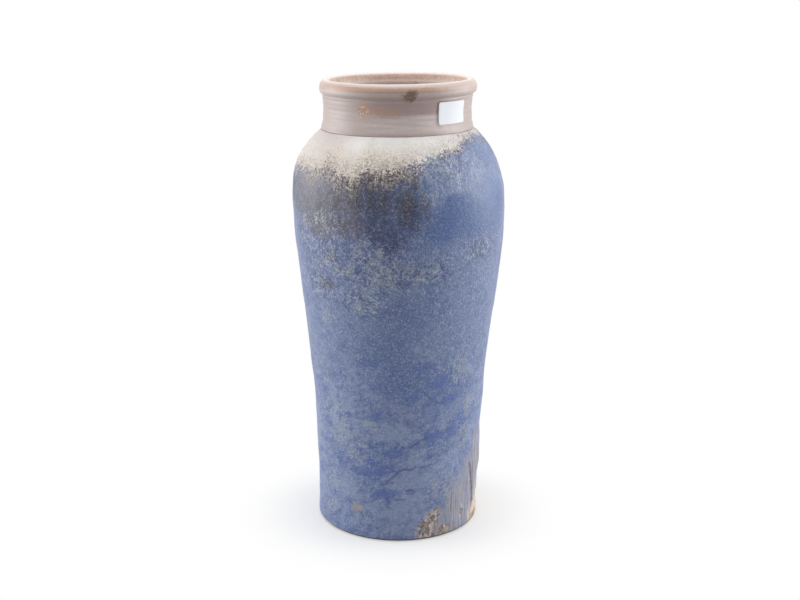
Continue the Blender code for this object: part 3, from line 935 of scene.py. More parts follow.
def body_finish(name):
    """Crystalline blue glaze below the fringe and cream glaze above it, with painted shade on the cream and
    the haze towards the sides.
    """
    tone = glaze()
    brush = Brush(name)
    lay, over, speckle, speckled, frayed = brush.lay, brush.over, brush.speckle, brush.speckled, brush.frayed
    mark, noise, step, plus, times = brush.mark, brush.noise, brush.step, brush.plus, brush.times
    about, most, rest = brush.about, brush.most, brush.rest
    broad = noise(20 * MM, 3, 0.5)
    cluster = noise(5 * MM, 4, 0.68, twist=0.7)
    torn = noise(2.6 * MM, 4, 0.7, twist=0.5)
    speck = brush.random(1.5 * MM, 2, 0.75)
    grit = brush.random(0.85 * MM, 1, 0.6)
    fleck, dust = speck["Fac"], grit["Fac"]
    hues = brush.random(3.2 * MM, 2, 0.6)
    drawn = noise(2.4 * MM, 3, 0.6, up=0.14)
    wide_drawn = noise(6 * MM, 3, 0.6, up=0.2)
    strokes = noise(9 * MM, 5, 0.62, twist=0.5, up=3.2, tilt=22)
    above = brush.maths("DIVIDE", mark("above_fringe"), MM)
    low = mark("low")
    pool = frayed(mark("pool"), wide_drawn, 1.8, 0.75)
    zone = mark("zone")

    # Blue to slate and pale patches, in slanting strokes lower down
    field = plus(
        about(cluster, plus(0.92, times(low, 0.28))),
        about(strokes, low, 1.2),
        about(broad, 0.6),
        times(mark("matt"), 0.22),
        times(mark("cobalt"), -0.27),
        about(torn, plus(0.2, times(low, 0.2))),
    )
    brush.colour = over(tone.slate, tone.blue, step(field, -0.3, 0.06))
    deep = frayed(mark("deep"), cluster, 1.4, 0.7)
    lay(tone.slate, deep, 0.7)
    lay(tone.cobalt, step(field, -0.08, -0.2), low, 0.8)
    pale = plus(0.15, times(low, 0.85), times(deep, -0.6))
    pale = times(step(field, 0.05, 0.2), most(pale, 0.0))
    lay(tone.matt, pale, 0.8)
    stain = plus(mark("stain"), about(torn, 1.2), about(broad, 1.2))
    stain = times(step(stain, 0.1, 1.1), rest(pool))
    stained = step(plus(fleck, about(cluster, 0.6)), 0.4, 0.58)
    lay(tone.olive, stain, plus(0.1, times(stained, 0.4)))
    hollows = times(zone, step(plus(cluster, about(torn, 0.5)), 0.56, 0.36))
    lay(over(tone.seam, tone.umber, 0.38), hollows, 0.68)

    # The shoulder: bright blue, brown grey haze and the dark pool with its iron runs
    lay(tone.bright, frayed(mark("bright"), cluster, 1.6, 0.7), 0.85)
    frost = frayed(mark("frost"), drawn, 2.2, 0.8)
    lay(tone.frost, frost, step(drawn, 0.4, 0.66, 0.1, 0.6))
    haze = frayed(mark("haze"), wide_drawn, 1.6, 0.7)
    # Painted shade: the haze turns towards navy at the sides
    dim = over(tone.haze, tone.navy, mark("side"), 0.32)
    lay(dim, haze, 0.95)
    depth = over(tone.navy, tone.seam, step(above, -18, -32), 0.3)
    lay(depth, pool, 0.95)
    runs = frayed(mark("runs"), drawn, 1.6, 0.6)
    lay(tone.umber, runs, 0.6)
    brink = frayed(mark("brink"), drawn, 1.6, 0.6)
    brown = over(tone.umber, tone.gap, step(fleck, 0.36, 0.62))
    lay(brown, brink, 0.85)

    # Coarse crystals in a web on the belly, fine ones everywhere, fewest on the pale patches
    web = plus(
        times(mark("coarse"), 0.14),
        times(zone, 0.13),
        noise(5 * MM, 4, 0.68, twist=1.0),
        about(fleck, 0.35),
    )
    web = times(step(web, 0.6, 0.76), most(zone, mark("coarse")))
    tinted = most(web, times(stain, 0.3))
    calm = times(most(pale, times(mark("cobalt"), low)), 0.7)
    veiled = plus(times(pool, 0.45), times(mark("bright"), 0.6))
    busy = times(rest(calm), rest(veiled))
    grey = most(times(pool, 0.4), most(times(haze, 0.8), frost))
    hue = over(tone.crystal, tone.olive, most(grey, times(tinted, 0.9)))
    lay(tone.olive, web, 0.42)
    level = plus(fleck, about(dust, 0.6), about(cluster, 0.3), times(tinted, 0.06))
    crystals = times(step(level, 0.5, 0.68), busy)
    lay(hue, crystals, plus(0.34, times(tinted, 0.34)))
    dots = times(step(brush.cells(1.7 * MM), 0.3, 0.1), busy)
    lay(hue, dots, 0.12)
    busier = plus(times(zone, 0.3), times(haze, 0.2), times(frost, 0.4))
    amount = plus(0.85, times(pool, 0.7), busier, times(calm, -0.3))
    speckle(grit, times(amount, 1.55), 0.25)
    speckle(speck, times(amount, 0.95), 0.25)
    amount = plus(0.35, times(zone, 0.6), times(pool, 0.5), times(haze, 0.3), times(frost, 0.5))
    speckle(hues, amount, 0.35)

    # Thin lines, ochre, rust, the grey runs and the thin skin at the foot
    line = plus(mark("crack"), about(torn, 2.2 * MM))
    lay(tone.seam, step(line, 1.1 * MM, 0.3 * MM), 0.8)
    ripple = noise(6 * MM, 4, 0.6, twist=2.2, up=2.6, tilt=14)
    ripple = step(brush.maths("ABSOLUTE", plus(ripple, -0.5)), 0.028, 0.006)
    lay(tone.slate, ripple, low, 0.4)
    ochre = frayed(mark("ochre"), torn, 1.5, 0.55)
    lay(tone.ochre, ochre, plus(0.15, times(fleck, 0.7)))
    fine_drawn = noise(1.3 * MM, 3, 0.6, up=0.08)
    greys = frayed(mark("greys"), wide_drawn, 0.9, 0.5)
    grey_runs = over(tone.run, tone.matt, step(wide_drawn, 0.62, 0.36), 0.45)
    grey_runs = over(grey_runs, tone.thin_cream_and_side_shade, step(fine_drawn, 0.52, 0.68), 0.5)
    grey_runs = over(grey_runs, tone.haze, step(fine_drawn, 0.48, 0.34), 0.7)
    grey_runs = speckled(grey_runs, speck, 0.5, 0.5)
    lay(grey_runs, greys, 0.9)
    thin = frayed(mark("thin"), fine_drawn, 0.9, 0.45)
    skin = over(tone.clay, tone.run, step(fine_drawn, 0.36, 0.56))
    lay(skin, thin, 0.85)
    rust = frayed(mark("rust"), torn, 1.8, 0.6)
    flecks = noise(2.6 * MM, 3, 0.6, up=0.6)
    rusty = over(tone.run, tone.rust, step(cluster, 0.62, 0.48))
    rusty = over(rusty, tone.umber, step(fleck, 0.52, 0.38), 0.7)
    rusty = over(rusty, tone.clay, step(flecks, 0.49, 0.6), 0.9)
    rusty = over(rusty, tone.ochre, step(hues["Fac"], 0.5, 0.62), 0.6)
    lay(speckled(rusty, speck, 0.9, 0.4), rust, 0.9)
    wander = plus(about(torn, 2 * MM), about(cluster, 3 * MM))
    streak = plus(mark("streak"), wander)
    streak = times(step(streak, 1.9 * MM, 0.7 * MM), step(cluster, 0.38, 0.56, 0.6, 1.0))
    lay(tone.gloom, streak)
    glint = plus(mark("glint"), about(drawn, 3 * MM))
    lay(tone.crystal, step(glint, 0.8 * MM, 0.1 * MM), 0.5)

    # Cream above the fringe, breaking up into grains on the way down
    edge = plus(about(drawn, 13), about(fleck, 9), about(dust, 7), about(torn, 6))
    edge = plus(above, 0.6, times(edge, step(above, 7, -1, 0.3, 1.0), mark("ragged")))
    gaps = plus(fleck, about(dust, 0.7), about(torn, 0.5), times(step(above, 12, -1), -0.21))
    crumbs = over(tone.gap, tone.grain, step(gaps, 0.22, 0.48))
    crumbs = speckled(crumbs, grit, 0.6, 0.3)
    side = mark("side")
    even = brush.maths("SUBTRACT", 1.1, mark("ragged"))
    crumbs = over(crumbs, tone.cream, even, 0.95)
    crumbs = over(crumbs, tone.thin_cream_and_side_shade, step(cluster, 0.42, 0.62), 0.4)
    # Painted shade: the crumbs are darkened towards the sides
    crumbs = over(crumbs, tone.thin_cream_and_side_shade, side, 0.5)
    smooth_cream = over(tone.cream, tone.grain, step(torn, 0.45, 0.65), 0.25)
    # Painted shade: the smooth cream is darkened towards the sides
    smooth_cream = over(smooth_cream, tone.thin_cream_and_side_shade, side, 0.85)
    grainy = frayed(mark("grained"), torn, 1.1, 0.8)
    top = over(smooth_cream, crumbs, grainy)
    lay(top, step(edge, -1.8, 1.8))

    relief = plus(times(crystals, 0.5), times(fleck, 0.6), times(dust, 0.4))
    normal = brush.bump(relief, 0.12 * MM, brush.bump(cluster, 0.35 * MM))
    roughness = step(plus(fleck, times(calm, 0.2)), 0.3, 0.8, 0.4, 0.56)
    return brush.finished(roughness, normal)


def neck_finish(name):
    """Thin pinkish glaze over throwing rings, peach on the lip and burnt where it is thin, with painted shade
    at the root, the sides and below the lip, and a painted highlight on the crest.
    """
    tone = glaze()
    brush = Brush(name)
    lay, over, frayed, about = brush.lay, brush.over, brush.frayed, brush.about
    mark, noise, step, plus, times = brush.mark, brush.noise, brush.step, brush.plus, brush.times
    rings = noise(1.5 * MM, 3, 0.6, across=0.06)
    bands = noise(4.5 * MM, 2, 0.5, across=0.1)
    torn = noise(3 * MM, 4, 0.7, twist=0.5)
    speck = brush.random(1.2 * MM, 2, 0.6)
    fleck = speck["Fac"]
    lip = mark("lip")
    inner = mark("inner")
    brush.colour = over(tone.neck, tone.neck_shade, step(rings, 0.6, 0.4), 0.3)
    # Painted shade on the upper front of the neck below the lip, with random darker bands
    shade_and_bands = plus(mark("shade_and_bands"), about(bands, 1.3), about(torn, 0.3))
    lay(tone.neck_shade, step(shade_and_bands, 0.2, 1.2), 0.95)
    # Painted shade: the neck is darkened towards the sides
    lay(tone.neck_side_shade, mark("side"), 0.75)
    # Painted shade on the lowest few millimetres of the neck, above the shoulder
    lay(tone.neck_shade, mark("root"), 0.6)
    lay(tone.lip, lip)
    # Lip's lower face: grey mauve glaze and painted shade under the roll, strongest at the front
    lay(tone.cove, mark("cove"), 0.8)
    warm = step(plus(inner, about(torn, 0.6)), 0.55, 0.05)
    warm = times(warm, plus(0.85, times(mark("far_wall"), 0.15)))
    inside = over(tone.inside, tone.burn, warm)
    inside = over(inside, tone.scorch, step(torn, 0.56, 0.72), mark("far_wall"), 0.4)
    lay(inside, step(inner, 0.06, 0.16))
    # Painted highlight on the lip's crest and the far rim
    lay(tone.crest_highlight, mark("crest_highlight"), 0.7)
    lay(tone.blush, mark("blush"), 0.8)
    burn = frayed(mark("burn"), torn, 1.1, 0.5)
    lay(tone.burn, burn, 0.75)
    craze = frayed(mark("craze"), torn, 0.9, 0.6)
    lay(tone.burn, craze, 0.35)
    lay(tone.cream, craze, step(fleck, 0.5, 0.62), 0.5)
    iron = times(frayed(mark("iron"), torn, 1.8, 0.4), step(fleck, 0.3, 0.48))
    lay(tone.scorch, iron, 0.85)
    lay(tone.cream, step(fleck, 0.66, 0.76), 0.08)
    # Painted shade in the crease where the lip meets the neck, and a dark line along the lip's lower edge
    lay(tone.scorch, mark("crease_shade"), 0.42)
    brush.speckle(speck, 0.26, 0.3)
    normal = brush.bump(rings, 0.08 * MM, brush.bump(torn, 0.12 * MM))
    roughness = step(fleck, 0.3, 0.7, 0.4, 0.52)
    return brush.finished(roughness, normal)


def liner_finish(name):
    """Thin beige glaze inside, darker where it pooled on the floor."""
    tone = glaze()
    brush = Brush(name)
    rings = brush.noise(3 * MM, 3, 0.6, across=0.08)
    torn = brush.noise(4 * MM, 4, 0.7, twist=0.5)
    speck = brush.noise(1.2 * MM, 2, 0.6)
    drawn = brush.noise(5 * MM, 3, 0.6, up=0.15)
    brush.colour = brush.over(tone.inside, tone.neck_shade, brush.step(rings, 0.6, 0.4), 0.4)
    brush.lay(tone.neck, brush.step(drawn, 0.52, 0.68), 0.4)
    brush.lay(tone.scorch, brush.frayed(brush.mark("depth"), torn, 0.6, 0.4), 0.5)
    brush.lay(tone.scorch, brush.step(speck, 0.64, 0.74), 0.5)
    normal = brush.bump(rings, 0.3 * MM, brush.bump(speck, 0.06 * MM))
    return brush.finished(brush.step(torn, 0.3, 0.7, 0.34, 0.5), normal)


def clay_finish(name, base, stain, darker_bottom=False):
    """Bare fired clay with turning marks and iron specks, and darker along its lower edge if darker_bottom is
    set.
    """
    brush = Brush(name)
    rings = brush.noise(1.2 * MM, 3, 0.6, across=0.05)
    torn = brush.noise(5 * MM, 4, 0.65)
    speck = brush.noise(0.8 * MM, 2, 0.6)
    brush.colour = brush.over(base, stain, brush.step(torn, 0.42, 0.68), 0.5)
    brush.lay(stain, brush.step(rings, 0.56, 0.7), 0.35)
    brush.lay(glaze().scorch, brush.step(speck, 0.66, 0.74), 0.7)
    # Darker towards the lower edge, in the umber colour
    if darker_bottom:
        brush.lay(glaze().umber, brush.mark("darker_bottom"), 0.85)
    normal = brush.bump(speck, 0.12 * MM, brush.bump(rings, 0.2 * MM))
    return brush.finished(brush.step(torn, 0.3, 0.7, 0.78, 0.92), normal)


def paper_finish(name):
    """White paper with faint fibres and a little dirt at its edges."""
    tone = glaze()
    brush = Brush(name)
    fibres = brush.noise(0.35 * MM, 3, 0.7, across=0.5)
    torn = brush.noise(2 * MM, 3, 0.6)
    brush.colour = brush.over(tone.paper, tone.cream, brush.step(fibres, 0.5, 0.8), 0.12)
    edge = brush.times(brush.mark("edge"), brush.step(torn, 0.4, 0.65))
    brush.lay(tone.inside, edge, 0.35)
    return brush.finished(brush.step(torn, 0.3, 0.7, 0.55, 0.7), brush.bump(fibres, 0.03 * MM))


# Pieces


def shares_between(start, end, even):
    """Row places from 0 to 1 for a coat: close ones near its start, then a number of even ones."""
    first = np.array([0.0, 0.1, 0.25, 0.5, 0.8, 1.2, 1.7]) * MM
    share = first[None, :] / (end - start)
    rest = share[:, -1:] + (1 - share[:, -1:]) * np.linspace(0, 1, even + 1)[1:][None, :]
    return np.concatenate([share, rest], axis=1)


def places_at(line, heights):
    """Distance along a rising line at heights."""
    return np.interp(heights, line[:, 1], run_of(line))


class VASE_OT_foot_ring(bpy.types.Operator):
    """Turn the foot ring that the vase stands on"""

    bl_idname = "vase.foot_ring"
    bl_label = "Foot ring"
    bl_options = {"REGISTER", "UNDO"}

    def execute(self, context):
        size = form()
        outside = clay_line()
        inner = outside[0, 0] - size.ring_width
        bevel = size.ring_bevel
        top = 0.5 * bevel
        outline = joined(
            round_corner((outside[0, 0] - bevel, bevel), bevel, bevel, -1, 0, 6),
            between(outside, bevel, RING_HEIGHT - top, 8),
            round_corner((outside[0, 0] - top, RING_HEIGHT - top), top, top, 0, 1, 4),
            straight((outside[0, 0] - top, RING_HEIGHT), (inner, RING_HEIGHT), 4),
            straight((inner, RING_HEIGHT), (inner, bevel), 4),
            round_corner((inner + bevel, bevel), bevel, bevel, 2, 3, 6),
            straight((inner + bevel, 0.0), (outside[0, 0] - bevel, 0.0), 6),
        )[:-1]
        azimuth = around(PLAIN)
        section = turned_section(outline)
        worn = cloud(at(azimuth, section[..., 0], section[..., 1]), 3 * MM, 71)
        section[..., 0] += 0.05 * MM * worn * (section[..., 1] < RING_HEIGHT - MM)
        tone = glaze()
        finish = clay_finish("foot_clay", tone.foot, tone.scorch, darker_bottom=True)
        # Strength of the darkening along the ring's lower edge, strongest at the table
        darker_bottom = smooth(section[..., 1], 1.5 * MM + 0.3 * MM * worn, 0.5 * MM)
        piece = shell("foot_ring_clay", section, finish, {"darker_bottom": darker_bottom})
        settle(piece, "foot_clay", "foot_ring")
        return {"FINISHED"}


class VASE_OT_clay_body(bpy.types.Operator):
    """Throw the clay body with its floor, flank, shoulder and mouth"""

    bl_idname = "vase.clay_body"
    bl_label = "Clay body"
    bl_options = {"REGISTER", "UNDO"}

    def execute(self, context):
        size = form()
        outside = clay_line()
        bottom = RING_HEIGHT + size.clearance
        register_z = bottom - MM
        register = outside[0, 0] - size.ring_width - size.clearance
        land_z = outside[-1, 1]
        inside = hollow_line()[::-1]
        outline = joined(
            straight((0.0, register_z), (register, register_z), 24),
            straight((register, register_z), (register, bottom), 2),
            straight((register, bottom), (outside[0, 0], bottom), 4),
            between(outside, bottom, land_z, 120),
            straight((outside[-1, 0], land_z), (mouth_radius(), land_z), 4),
            inside[:1],
            inside,
        )
        azimuth = around(PLAIN)
        section = turned_section(outline)
        under = section[..., 1] == register_z
        swirl = np.sin(section[..., 0] / (0.62 * MM) + azimuth) * smooth(section[..., 0], 0, 6 * MM)
        swirl = 0.08 * MM * swirl * smooth(section[..., 0], register, register - 3 * MM)
        section[..., 1] += np.where(under, swirl, 0)
        tone = glaze()
        piece = shell("clay_wall", section, clay_finish("bare_clay", tone.clay, tone.burn))
        settle(piece, "bare_clay", "clay_body")
        return {"FINISHED"}


class VASE_OT_neck_collar(bpy.types.Operator):
    """Throw the collar of the neck and its rolled lip, and set it in the mouth"""

    bl_idname = "vase.neck_collar"
    bl_label = "Neck collar"
    bl_options = {"REGISTER", "UNDO"}

    def execute(self, context):
        size = form()
        outside = offset(neck_line(), size.neck_coat + size.clearance)
        seat_z = clay_line()[-1, 1] + size.clearance
        bore = bore_radius()
        spigot = bore + size.spigot_wall
        outline = joined(
            straight((outside[0, 0], seat_z), outside[0], 2),
            outside,
            straight(outside[-1], (bore, SPIGOT_BOTTOM), 20),
            straight((bore, SPIGOT_BOTTOM), (spigot, SPIGOT_BOTTOM), 2),
            straight((spigot, SPIGOT_BOTTOM), (spigot, seat_z), 4),
            straight((spigot, seat_z), (outside[0, 0], seat_z), 3),
        )[:-1]
        tone = glaze()
        finish = clay_finish("collar_clay", tone.clay, tone.burn)
        piece = shell("collar_clay", turned_section(outline), finish)
        settle(piece, "bare_clay", "neck_collar")
        return {"FINISHED"}


class VASE_OT_body_glaze(bpy.types.Operator):
    """Coat the body in blue glaze up to the fringe and in cream glaze from there to the neck"""

    bl_idname = "vase.body_glaze"
    bl_label = "Blue and cream glaze"
    bl_options = {"REGISTER", "UNDO"}

    def execute(self, context):
        size = form()
        line = body_line()
        azimuth = around(FINE)
        fringe = places_at(line, fringe_height(azimuth))
        hem = places_at(line, hem_height(azimuth))
        top = np.full_like(fringe, run_of(line)[-1])

        def blue_relief(radius, height, along):
            skin = size.body_coat - 0.1 * MM
            return rolled(body_relief(azimuth, radius, height), skin, (along - hem) / (1.2 * MM))

        def cream_relief(radius, height, along):
            return rolled(body_relief(azimuth, radius, height), 0.1 * MM, (top - along) / (0.22 * MM))

        rows = shares_between(hem, fringe, BLUE_ROWS)
        blue = coat_section(line, size.body_coat, hem, fringe, rows, BLUE_BACK_ROWS, blue_relief)
        # The cream coat's last 6% rounds down to the neck and has rows of its own
        even, edge = np.linspace(0, 0.94, CREAM_ROWS), np.linspace(0.94, 1, CREAM_EDGE_ROWS)
        rows = np.concatenate([even, edge[1:]])[None, :]
        cream = coat_section(line, size.body_coat, fringe, top, rows, CREAM_BACK_ROWS, cream_relief)
        for name, section in (("blue_glaze", blue), ("cream_glaze", cream)):
            marks = body_marks(azimuth, section[..., 0], section[..., 1])
            settle(shell(f"{name}_coat", section, body_finish(name), marks), name, name)
        return {"FINISHED"}


def grain_tree(finish):
    """Geometry nodes that scatter flat round grains over a surface, more where its mark is stronger."""
    tree = bpy.data.node_groups.new("Scattered grains", "GeometryNodeTree")
    inputs = {"Surface": "Geometry", "Density": "Float", "Width": "Float", "Flatness": "Float", "Seed": "Int"}
    for name, kind in inputs.items():
        tree.interface.new_socket(name, in_out="INPUT", socket_type=f"NodeSocket{kind}")
    tree.interface.new_socket("Grains", in_out="OUTPUT", socket_type="NodeSocketGeometry")

    def product(first, second):
        return laid(tree, "ShaderNodeMath", {0: first, 1: second}, operation="MULTIPLY")[0]

    given = laid(tree, "NodeGroupInput")
    mark = laid(tree, "GeometryNodeInputNamedAttribute", {"Name": "grains"}, data_type="FLOAT")["Attribute"]
    scattered = {"Mesh": given["Surface"], "Density": product(given["Density"], mark), "Seed": given["Seed"]}
    points = laid(tree, "GeometryNodeDistributePointsOnFaces", scattered)
    ball = laid(tree, "GeometryNodeMeshIcoSphere", {"Radius": 0.5, "Subdivisions": 1})["Mesh"]
    # Inputs 2 and 3 of the random value are the smallest and the largest share of the width
    share = laid(tree, "FunctionNodeRandomValue", {2: 0.45, 3: 1.15, "Seed": given["Seed"]})[1]
    across = product(given["Width"], share)
    widths = {"X": across, "Y": across, "Z": product(across, given["Flatness"])}
    scale = laid(tree, "ShaderNodeCombineXYZ", widths)[0]
    placing = {"Points": points["Points"], "Rotation": points["Rotation"], "Instance": ball, "Scale": scale}
    placed = laid(tree, "GeometryNodeInstanceOnPoints", placing)[0]
    real = laid(tree, "GeometryNodeRealizeInstances", {0: placed})[0]
    shaded = laid(tree, "GeometryNodeSetShadeSmooth", {0: real})[0]
    coloured = laid(tree, "GeometryNodeSetMaterial", {"Geometry": shaded, "Material": finish})[0]
    laid(tree, "NodeGroupOutput", {"Grains": coloured})
    return tree


def grown(name, surface, tree, settings):
    """A plain mesh object that a tree grows on a surface, which is used up."""
    piece = bpy.data.objects.new(name, surface)
    bpy.context.scene.collection.objects.link(piece)
    modifier = piece.modifiers.new(name, "NODES")
    modifier.node_group = tree
    for socket in tree.interface.items_tree:
        if socket.name in settings:
            modifier[socket.identifier] = settings[socket.name]
    bpy.context.view_layer.update()
    evaluated = piece.evaluated_get(bpy.context.evaluated_depsgraph_get())
    mesh = bpy.data.meshes.new_from_object(evaluated)
    if not mesh.polygons:
        raise RuntimeError(f"{name} grew nothing")
    piece.modifiers.clear()
    piece.data = mesh
    return piece


class VASE_OT_fringe_grains(bpy.types.Operator):
    """Scatter the grains that the cream glaze breaks into over the fringe"""

    bl_idname = "vase.fringe_grains"
    bl_label = "Fringe grains"
    bl_options = {"REGISTER", "UNDO"}

    def execute(self, context):
        tone = glaze()
        line = body_line()
        azimuth = around(FINE)
        middle = places_at(line, fringe_height(azimuth))
        run = run_of(line)
        low = middle - GRAIN_SPREAD
        high = np.minimum(middle + GRAIN_SPREAD, run[-1] - MM)
        along = low + (high - low) * np.linspace(0, 1, GRAIN_ROWS)[None, :]
        radius, height = np.moveaxis(read_off(line, run, along), -1, 0)
        above = height - fringe_height(azimuth)
        drawn = at(azimuth, radius, height) * (1, 1, 0.2)
        reach = MM * eased(bearing(azimuth), GRAIN_REACH)
        share = smooth(above, -8 * MM, -MM) * smooth(above, 8 * MM, 3 * MM)
        share = share * smooth(cloud(drawn, 4 * MM, 81), -0.5, 0.4) * np.clip(reach / (10 * MM), 0.5, 1)
        radius = radius + body_relief(azimuth, radius, height)
        surface = bpy.data.meshes.new("fringe_band")
        index = np.arange(along.size).reshape(along.shape)
        ahead = np.roll(index, -1, axis=0)
        quads = np.stack([index[:, :-1], ahead[:, :-1], ahead[:, 1:], index[:, 1:]], axis=-1).reshape(-1, 4)
        places = as_thrown(at(azimuth, radius, height)).reshape(-1, 3)
        surface.from_pydata(places.tolist(), [], quads.tolist())
        stored(surface, {"grains": share})
        settings = {
            "Density": tone.grain_count / GRAIN_BAND,
            "Width": tone.grain_size,
            "Flatness": 0.5,
            "Seed": tone.seed,
        }
        finish = grain_finish("fringe_grain")
        settle(grown("fringe_grains", surface, grain_tree(finish), settings), "cream_glaze")
        return {"FINISHED"}


def grain_finish(name):
    """Cream to buff grains, each a little different."""
    tone = glaze()
    brush = Brush(name)
    hue = brush.noise(1.2 * MM, 1, 0.5)
    dirt = brush.noise(0.6 * MM, 2, 0.6)
    brush.colour = brush.over(tone.gap, tone.grain, brush.step(hue, 0.36, 0.6))
    brush.lay(tone.cream, brush.step(dirt, 0.52, 0.66), 0.4)
    return brush.finished(brush.step(dirt, 0.3, 0.7, 0.42, 0.58), brush.bump(dirt, 0.04 * MM))


class VASE_OT_neck_glaze(bpy.types.Operator):
    """Coat the neck and the lip in thin pinkish glaze over their throwing rings"""

    bl_idname = "vase.neck_glaze"
    bl_label = "Neck glaze"
    bl_options = {"REGISTER", "UNDO"}

    def execute(self, context):
        size = form()
        line = neck_line()
        azimuth = around(FINE)
        run = run_of(line)
        lip_z = RIM_Z - size.lip_height
        lip_run = float(np.interp(lip_z, line[: NECK_STEPS + 1, 1], run[: NECK_STEPS + 1]))
        crest_run = run[NECK_STEPS + LIP_STEPS + CREST_STEPS]

        def neck_relief(radius, height, along):
            places = at(azimuth, radius, height)
            outside = smooth(along, lip_run, lip_run - 0.4 * MM)
            rings = 0.05 * MM * np.sin(along / (0.42 * MM) + azimuth) + 0.06 * MM * np.sin(along / (1.1 * MM))
            ridge = 0.12 * MM * np.exp(-(((height - lip_z + 1.2 * MM) / (0.6 * MM)) ** 2))
            lumps = 0.05 * MM * cloud(places, 5 * MM, 91) + 0.03 * MM * cloud(places, 1.8 * MM, 92)
            inside = smooth(along, crest_run, crest_run + 4 * MM) * 0.05 * MM * np.sin(along / (0.5 * MM))
            relief = outside * (rings + ridge) + lumps + inside
            return rolled(relief, 0.5 * size.neck_coat, along / (0.16 * MM))

        start = np.zeros((FINE, 1))
        end = np.full((FINE, 1), run[-1])
        shares = shares_between(start, end, NECK_ROWS)
        section = coat_section(line, size.neck_coat, start, end, shares, NECK_BACK_ROWS, neck_relief)
        radius, height = section[..., 0], section[..., 1]
        rows = shares.shape[1]
        along = np.full(section.shape[:2], run[-1])
        along[:, :rows] = shares * run[-1]
        along[:, rows:] = run[-1] * np.linspace(1, 0, NECK_BACK_ROWS)[None, :]
        front = facing(azimuth, 2, 62, 12)
        far = behind(azimuth)
        places = at(azimuth, radius, height)
        lip = smooth(along, lip_run - 0.1 * MM, lip_run + 0.4 * MM)
        face = lip * (along < crest_run)
        level = places * (1, 1, 0)
        tongue = 0.5 * MM * cloud(level, 12 * MM, 97) + 0.3 * MM * cloud(level, 3 * MM, 98)
        fall = RIM_Z - height
        fired = smooth(fall, 1.3 * MM, 2.4 * MM + tongue) * smooth(fall, 4.3 * MM, 3.7 * MM) * face
        ring_fire = 0.1 + 0.9 * facing(azimuth, -9, 62, 22)
        patchy = smooth(rough(places, 9 * MM, 93), -0.2, 0.4)
        outer = smooth(along, crest_run, crest_run - MM)
        burns = patches(azimuth, radius, height, NECK_BURNS, 0.8, 94) * outer * (1 - lip)
        burns = np.maximum(burns, far * smooth(rough(places, 8 * MM, 95), 0.42, 0.8) * (1 - lip))
        # Painted shade on the upper front of the neck below the lip; the far side gets random darker bands
        shade_and_bands = 1.25 * front * smooth(height, 248 * MM, 256 * MM) * (1 - lip)
        far_bands = smooth(rough(places * (0.4, 0.4, 1.6), 9 * MM, 96), 0, 0.5)
        shade_and_bands = np.maximum(shade_and_bands, 0.7 * far * far_bands * (1 - lip))
        blush = smooth(fall, 0.6 * MM, 1.8 * MM + tongue) * smooth(fall, 4.6 * MM, 3.7 * MM)
        shy = 0.5 + 0.5 * smooth(bearing(azimuth), 25, -15)
        # Painted shade in the crease where the lip meets the neck; under_lip adds a dark line along the lip's
        # lower edge
        crease_shade = smooth(np.abs(height - lip_z - 0.5 * MM), 1.5 * MM, 0.3 * MM) * outer * (0.4 + 0.3 * front)
        under_lip = 0.8 * smooth(np.abs(fall - 4.1 * MM), 0.6 * MM, 0.1 * MM) * face
        crease_shade = np.maximum(crease_shade, under_lip * (0.3 + 0.7 * front))
        marks = {
            "lip": lip,
            "inner": np.clip((along - crest_run - 1.4 * MM) / (11 * MM), 0, 1),
            "far_wall": facing(azimuth, 172, 55, 15),
            # Painted highlight along the crest of the lip
            "crest_highlight": smooth(np.abs(along - crest_run - 0.5 * MM), 2.2 * MM, 0.9 * MM),
            # Painted shade at the root of the neck, strongest at the front
            "root": smooth(height, ROOT_Z + 3.6 * MM, ROOT_Z + 0.4 * MM) * (0.1 + 0.9 * front) * outer,
            # Grey mauve glaze and painted shade under the lip's roll
            "cove": smooth(fall, 3.7 * MM, 4.3 * MM) * face * (0.5 + 0.5 * front),
            # Painted shade towards the sides of the neck
            "side": facing(azimuth, 11, 18, 50),
            "burn": np.maximum(fired * np.maximum(ring_fire, far * patchy), 0.75 * burns),
            "blush": blush * face * (1 - 0.5 * ring_fire) * shy,
            "craze": patches(azimuth, radius, height, NECK_CRAZES, 1.0, 99) * outer,
            "iron": patches(azimuth, radius, height, NECK_SPOTS, 1.0, 90) * outer,
            "shade_and_bands": shade_and_bands,
            "crease_shade": crease_shade,
        }
        settle(shell("neck_coat", section, neck_finish("neck_glaze"), marks), "neck_glaze", "neck_glaze")
        return {"FINISHED"}


class VASE_OT_liner_glaze(bpy.types.Operator):
    """Line the inside with beige glaze, from the floor to below the lip"""

    bl_idname = "vase.liner_glaze"
    bl_label = "Liner glaze"
    bl_options = {"REGISTER", "UNDO"}

    def execute(self, context):
        size = form()
        hollow = hollow_line()
        bore = bore_radius()
        if SPIGOT_BOTTOM > hollow[-1, 1]:
            low = np.vstack([hollow, (mouth_radius(), SPIGOT_BOTTOM)])
        else:
            low = hollow[hollow[:, 1] < SPIGOT_BOTTOM - 0.1 * MM]
        clay = np.vstack([low, straight((bore, SPIGOT_BOTTOM), (bore, LINER_TOP), 26)])
        face = offset(clay, size.clearance + size.liner_coat)
        back = offset(clay, size.clearance)
        face[0, 0] = back[0, 0] = 0.0
        face[-1, 1] = back[-1, 1] = LINER_TOP
        azimuth = around(PLAIN)
        section = turned_section(np.vstack([back, face[::-1]]))
        height = section[..., 1]
        is_face = np.arange(section.shape[1]) >= len(back)
        spiral = np.sin(height / (1.1 * MM) + azimuth) * smooth(height, 30 * MM, 45 * MM)
        spiral = spiral * smooth(height, SPIGOT_BOTTOM - 4 * MM, SPIGOT_BOTTOM - 9 * MM)
        section[..., 0] += is_face * 0.1 * MM * spiral
        marks = {"depth": smooth(height, 60 * MM, 14 * MM)}
        piece = shell("liner_coat", section, liner_finish("liner_glaze"), marks)
        settle(piece, "liner_glaze", "liner_glaze")
        return {"FINISHED"}


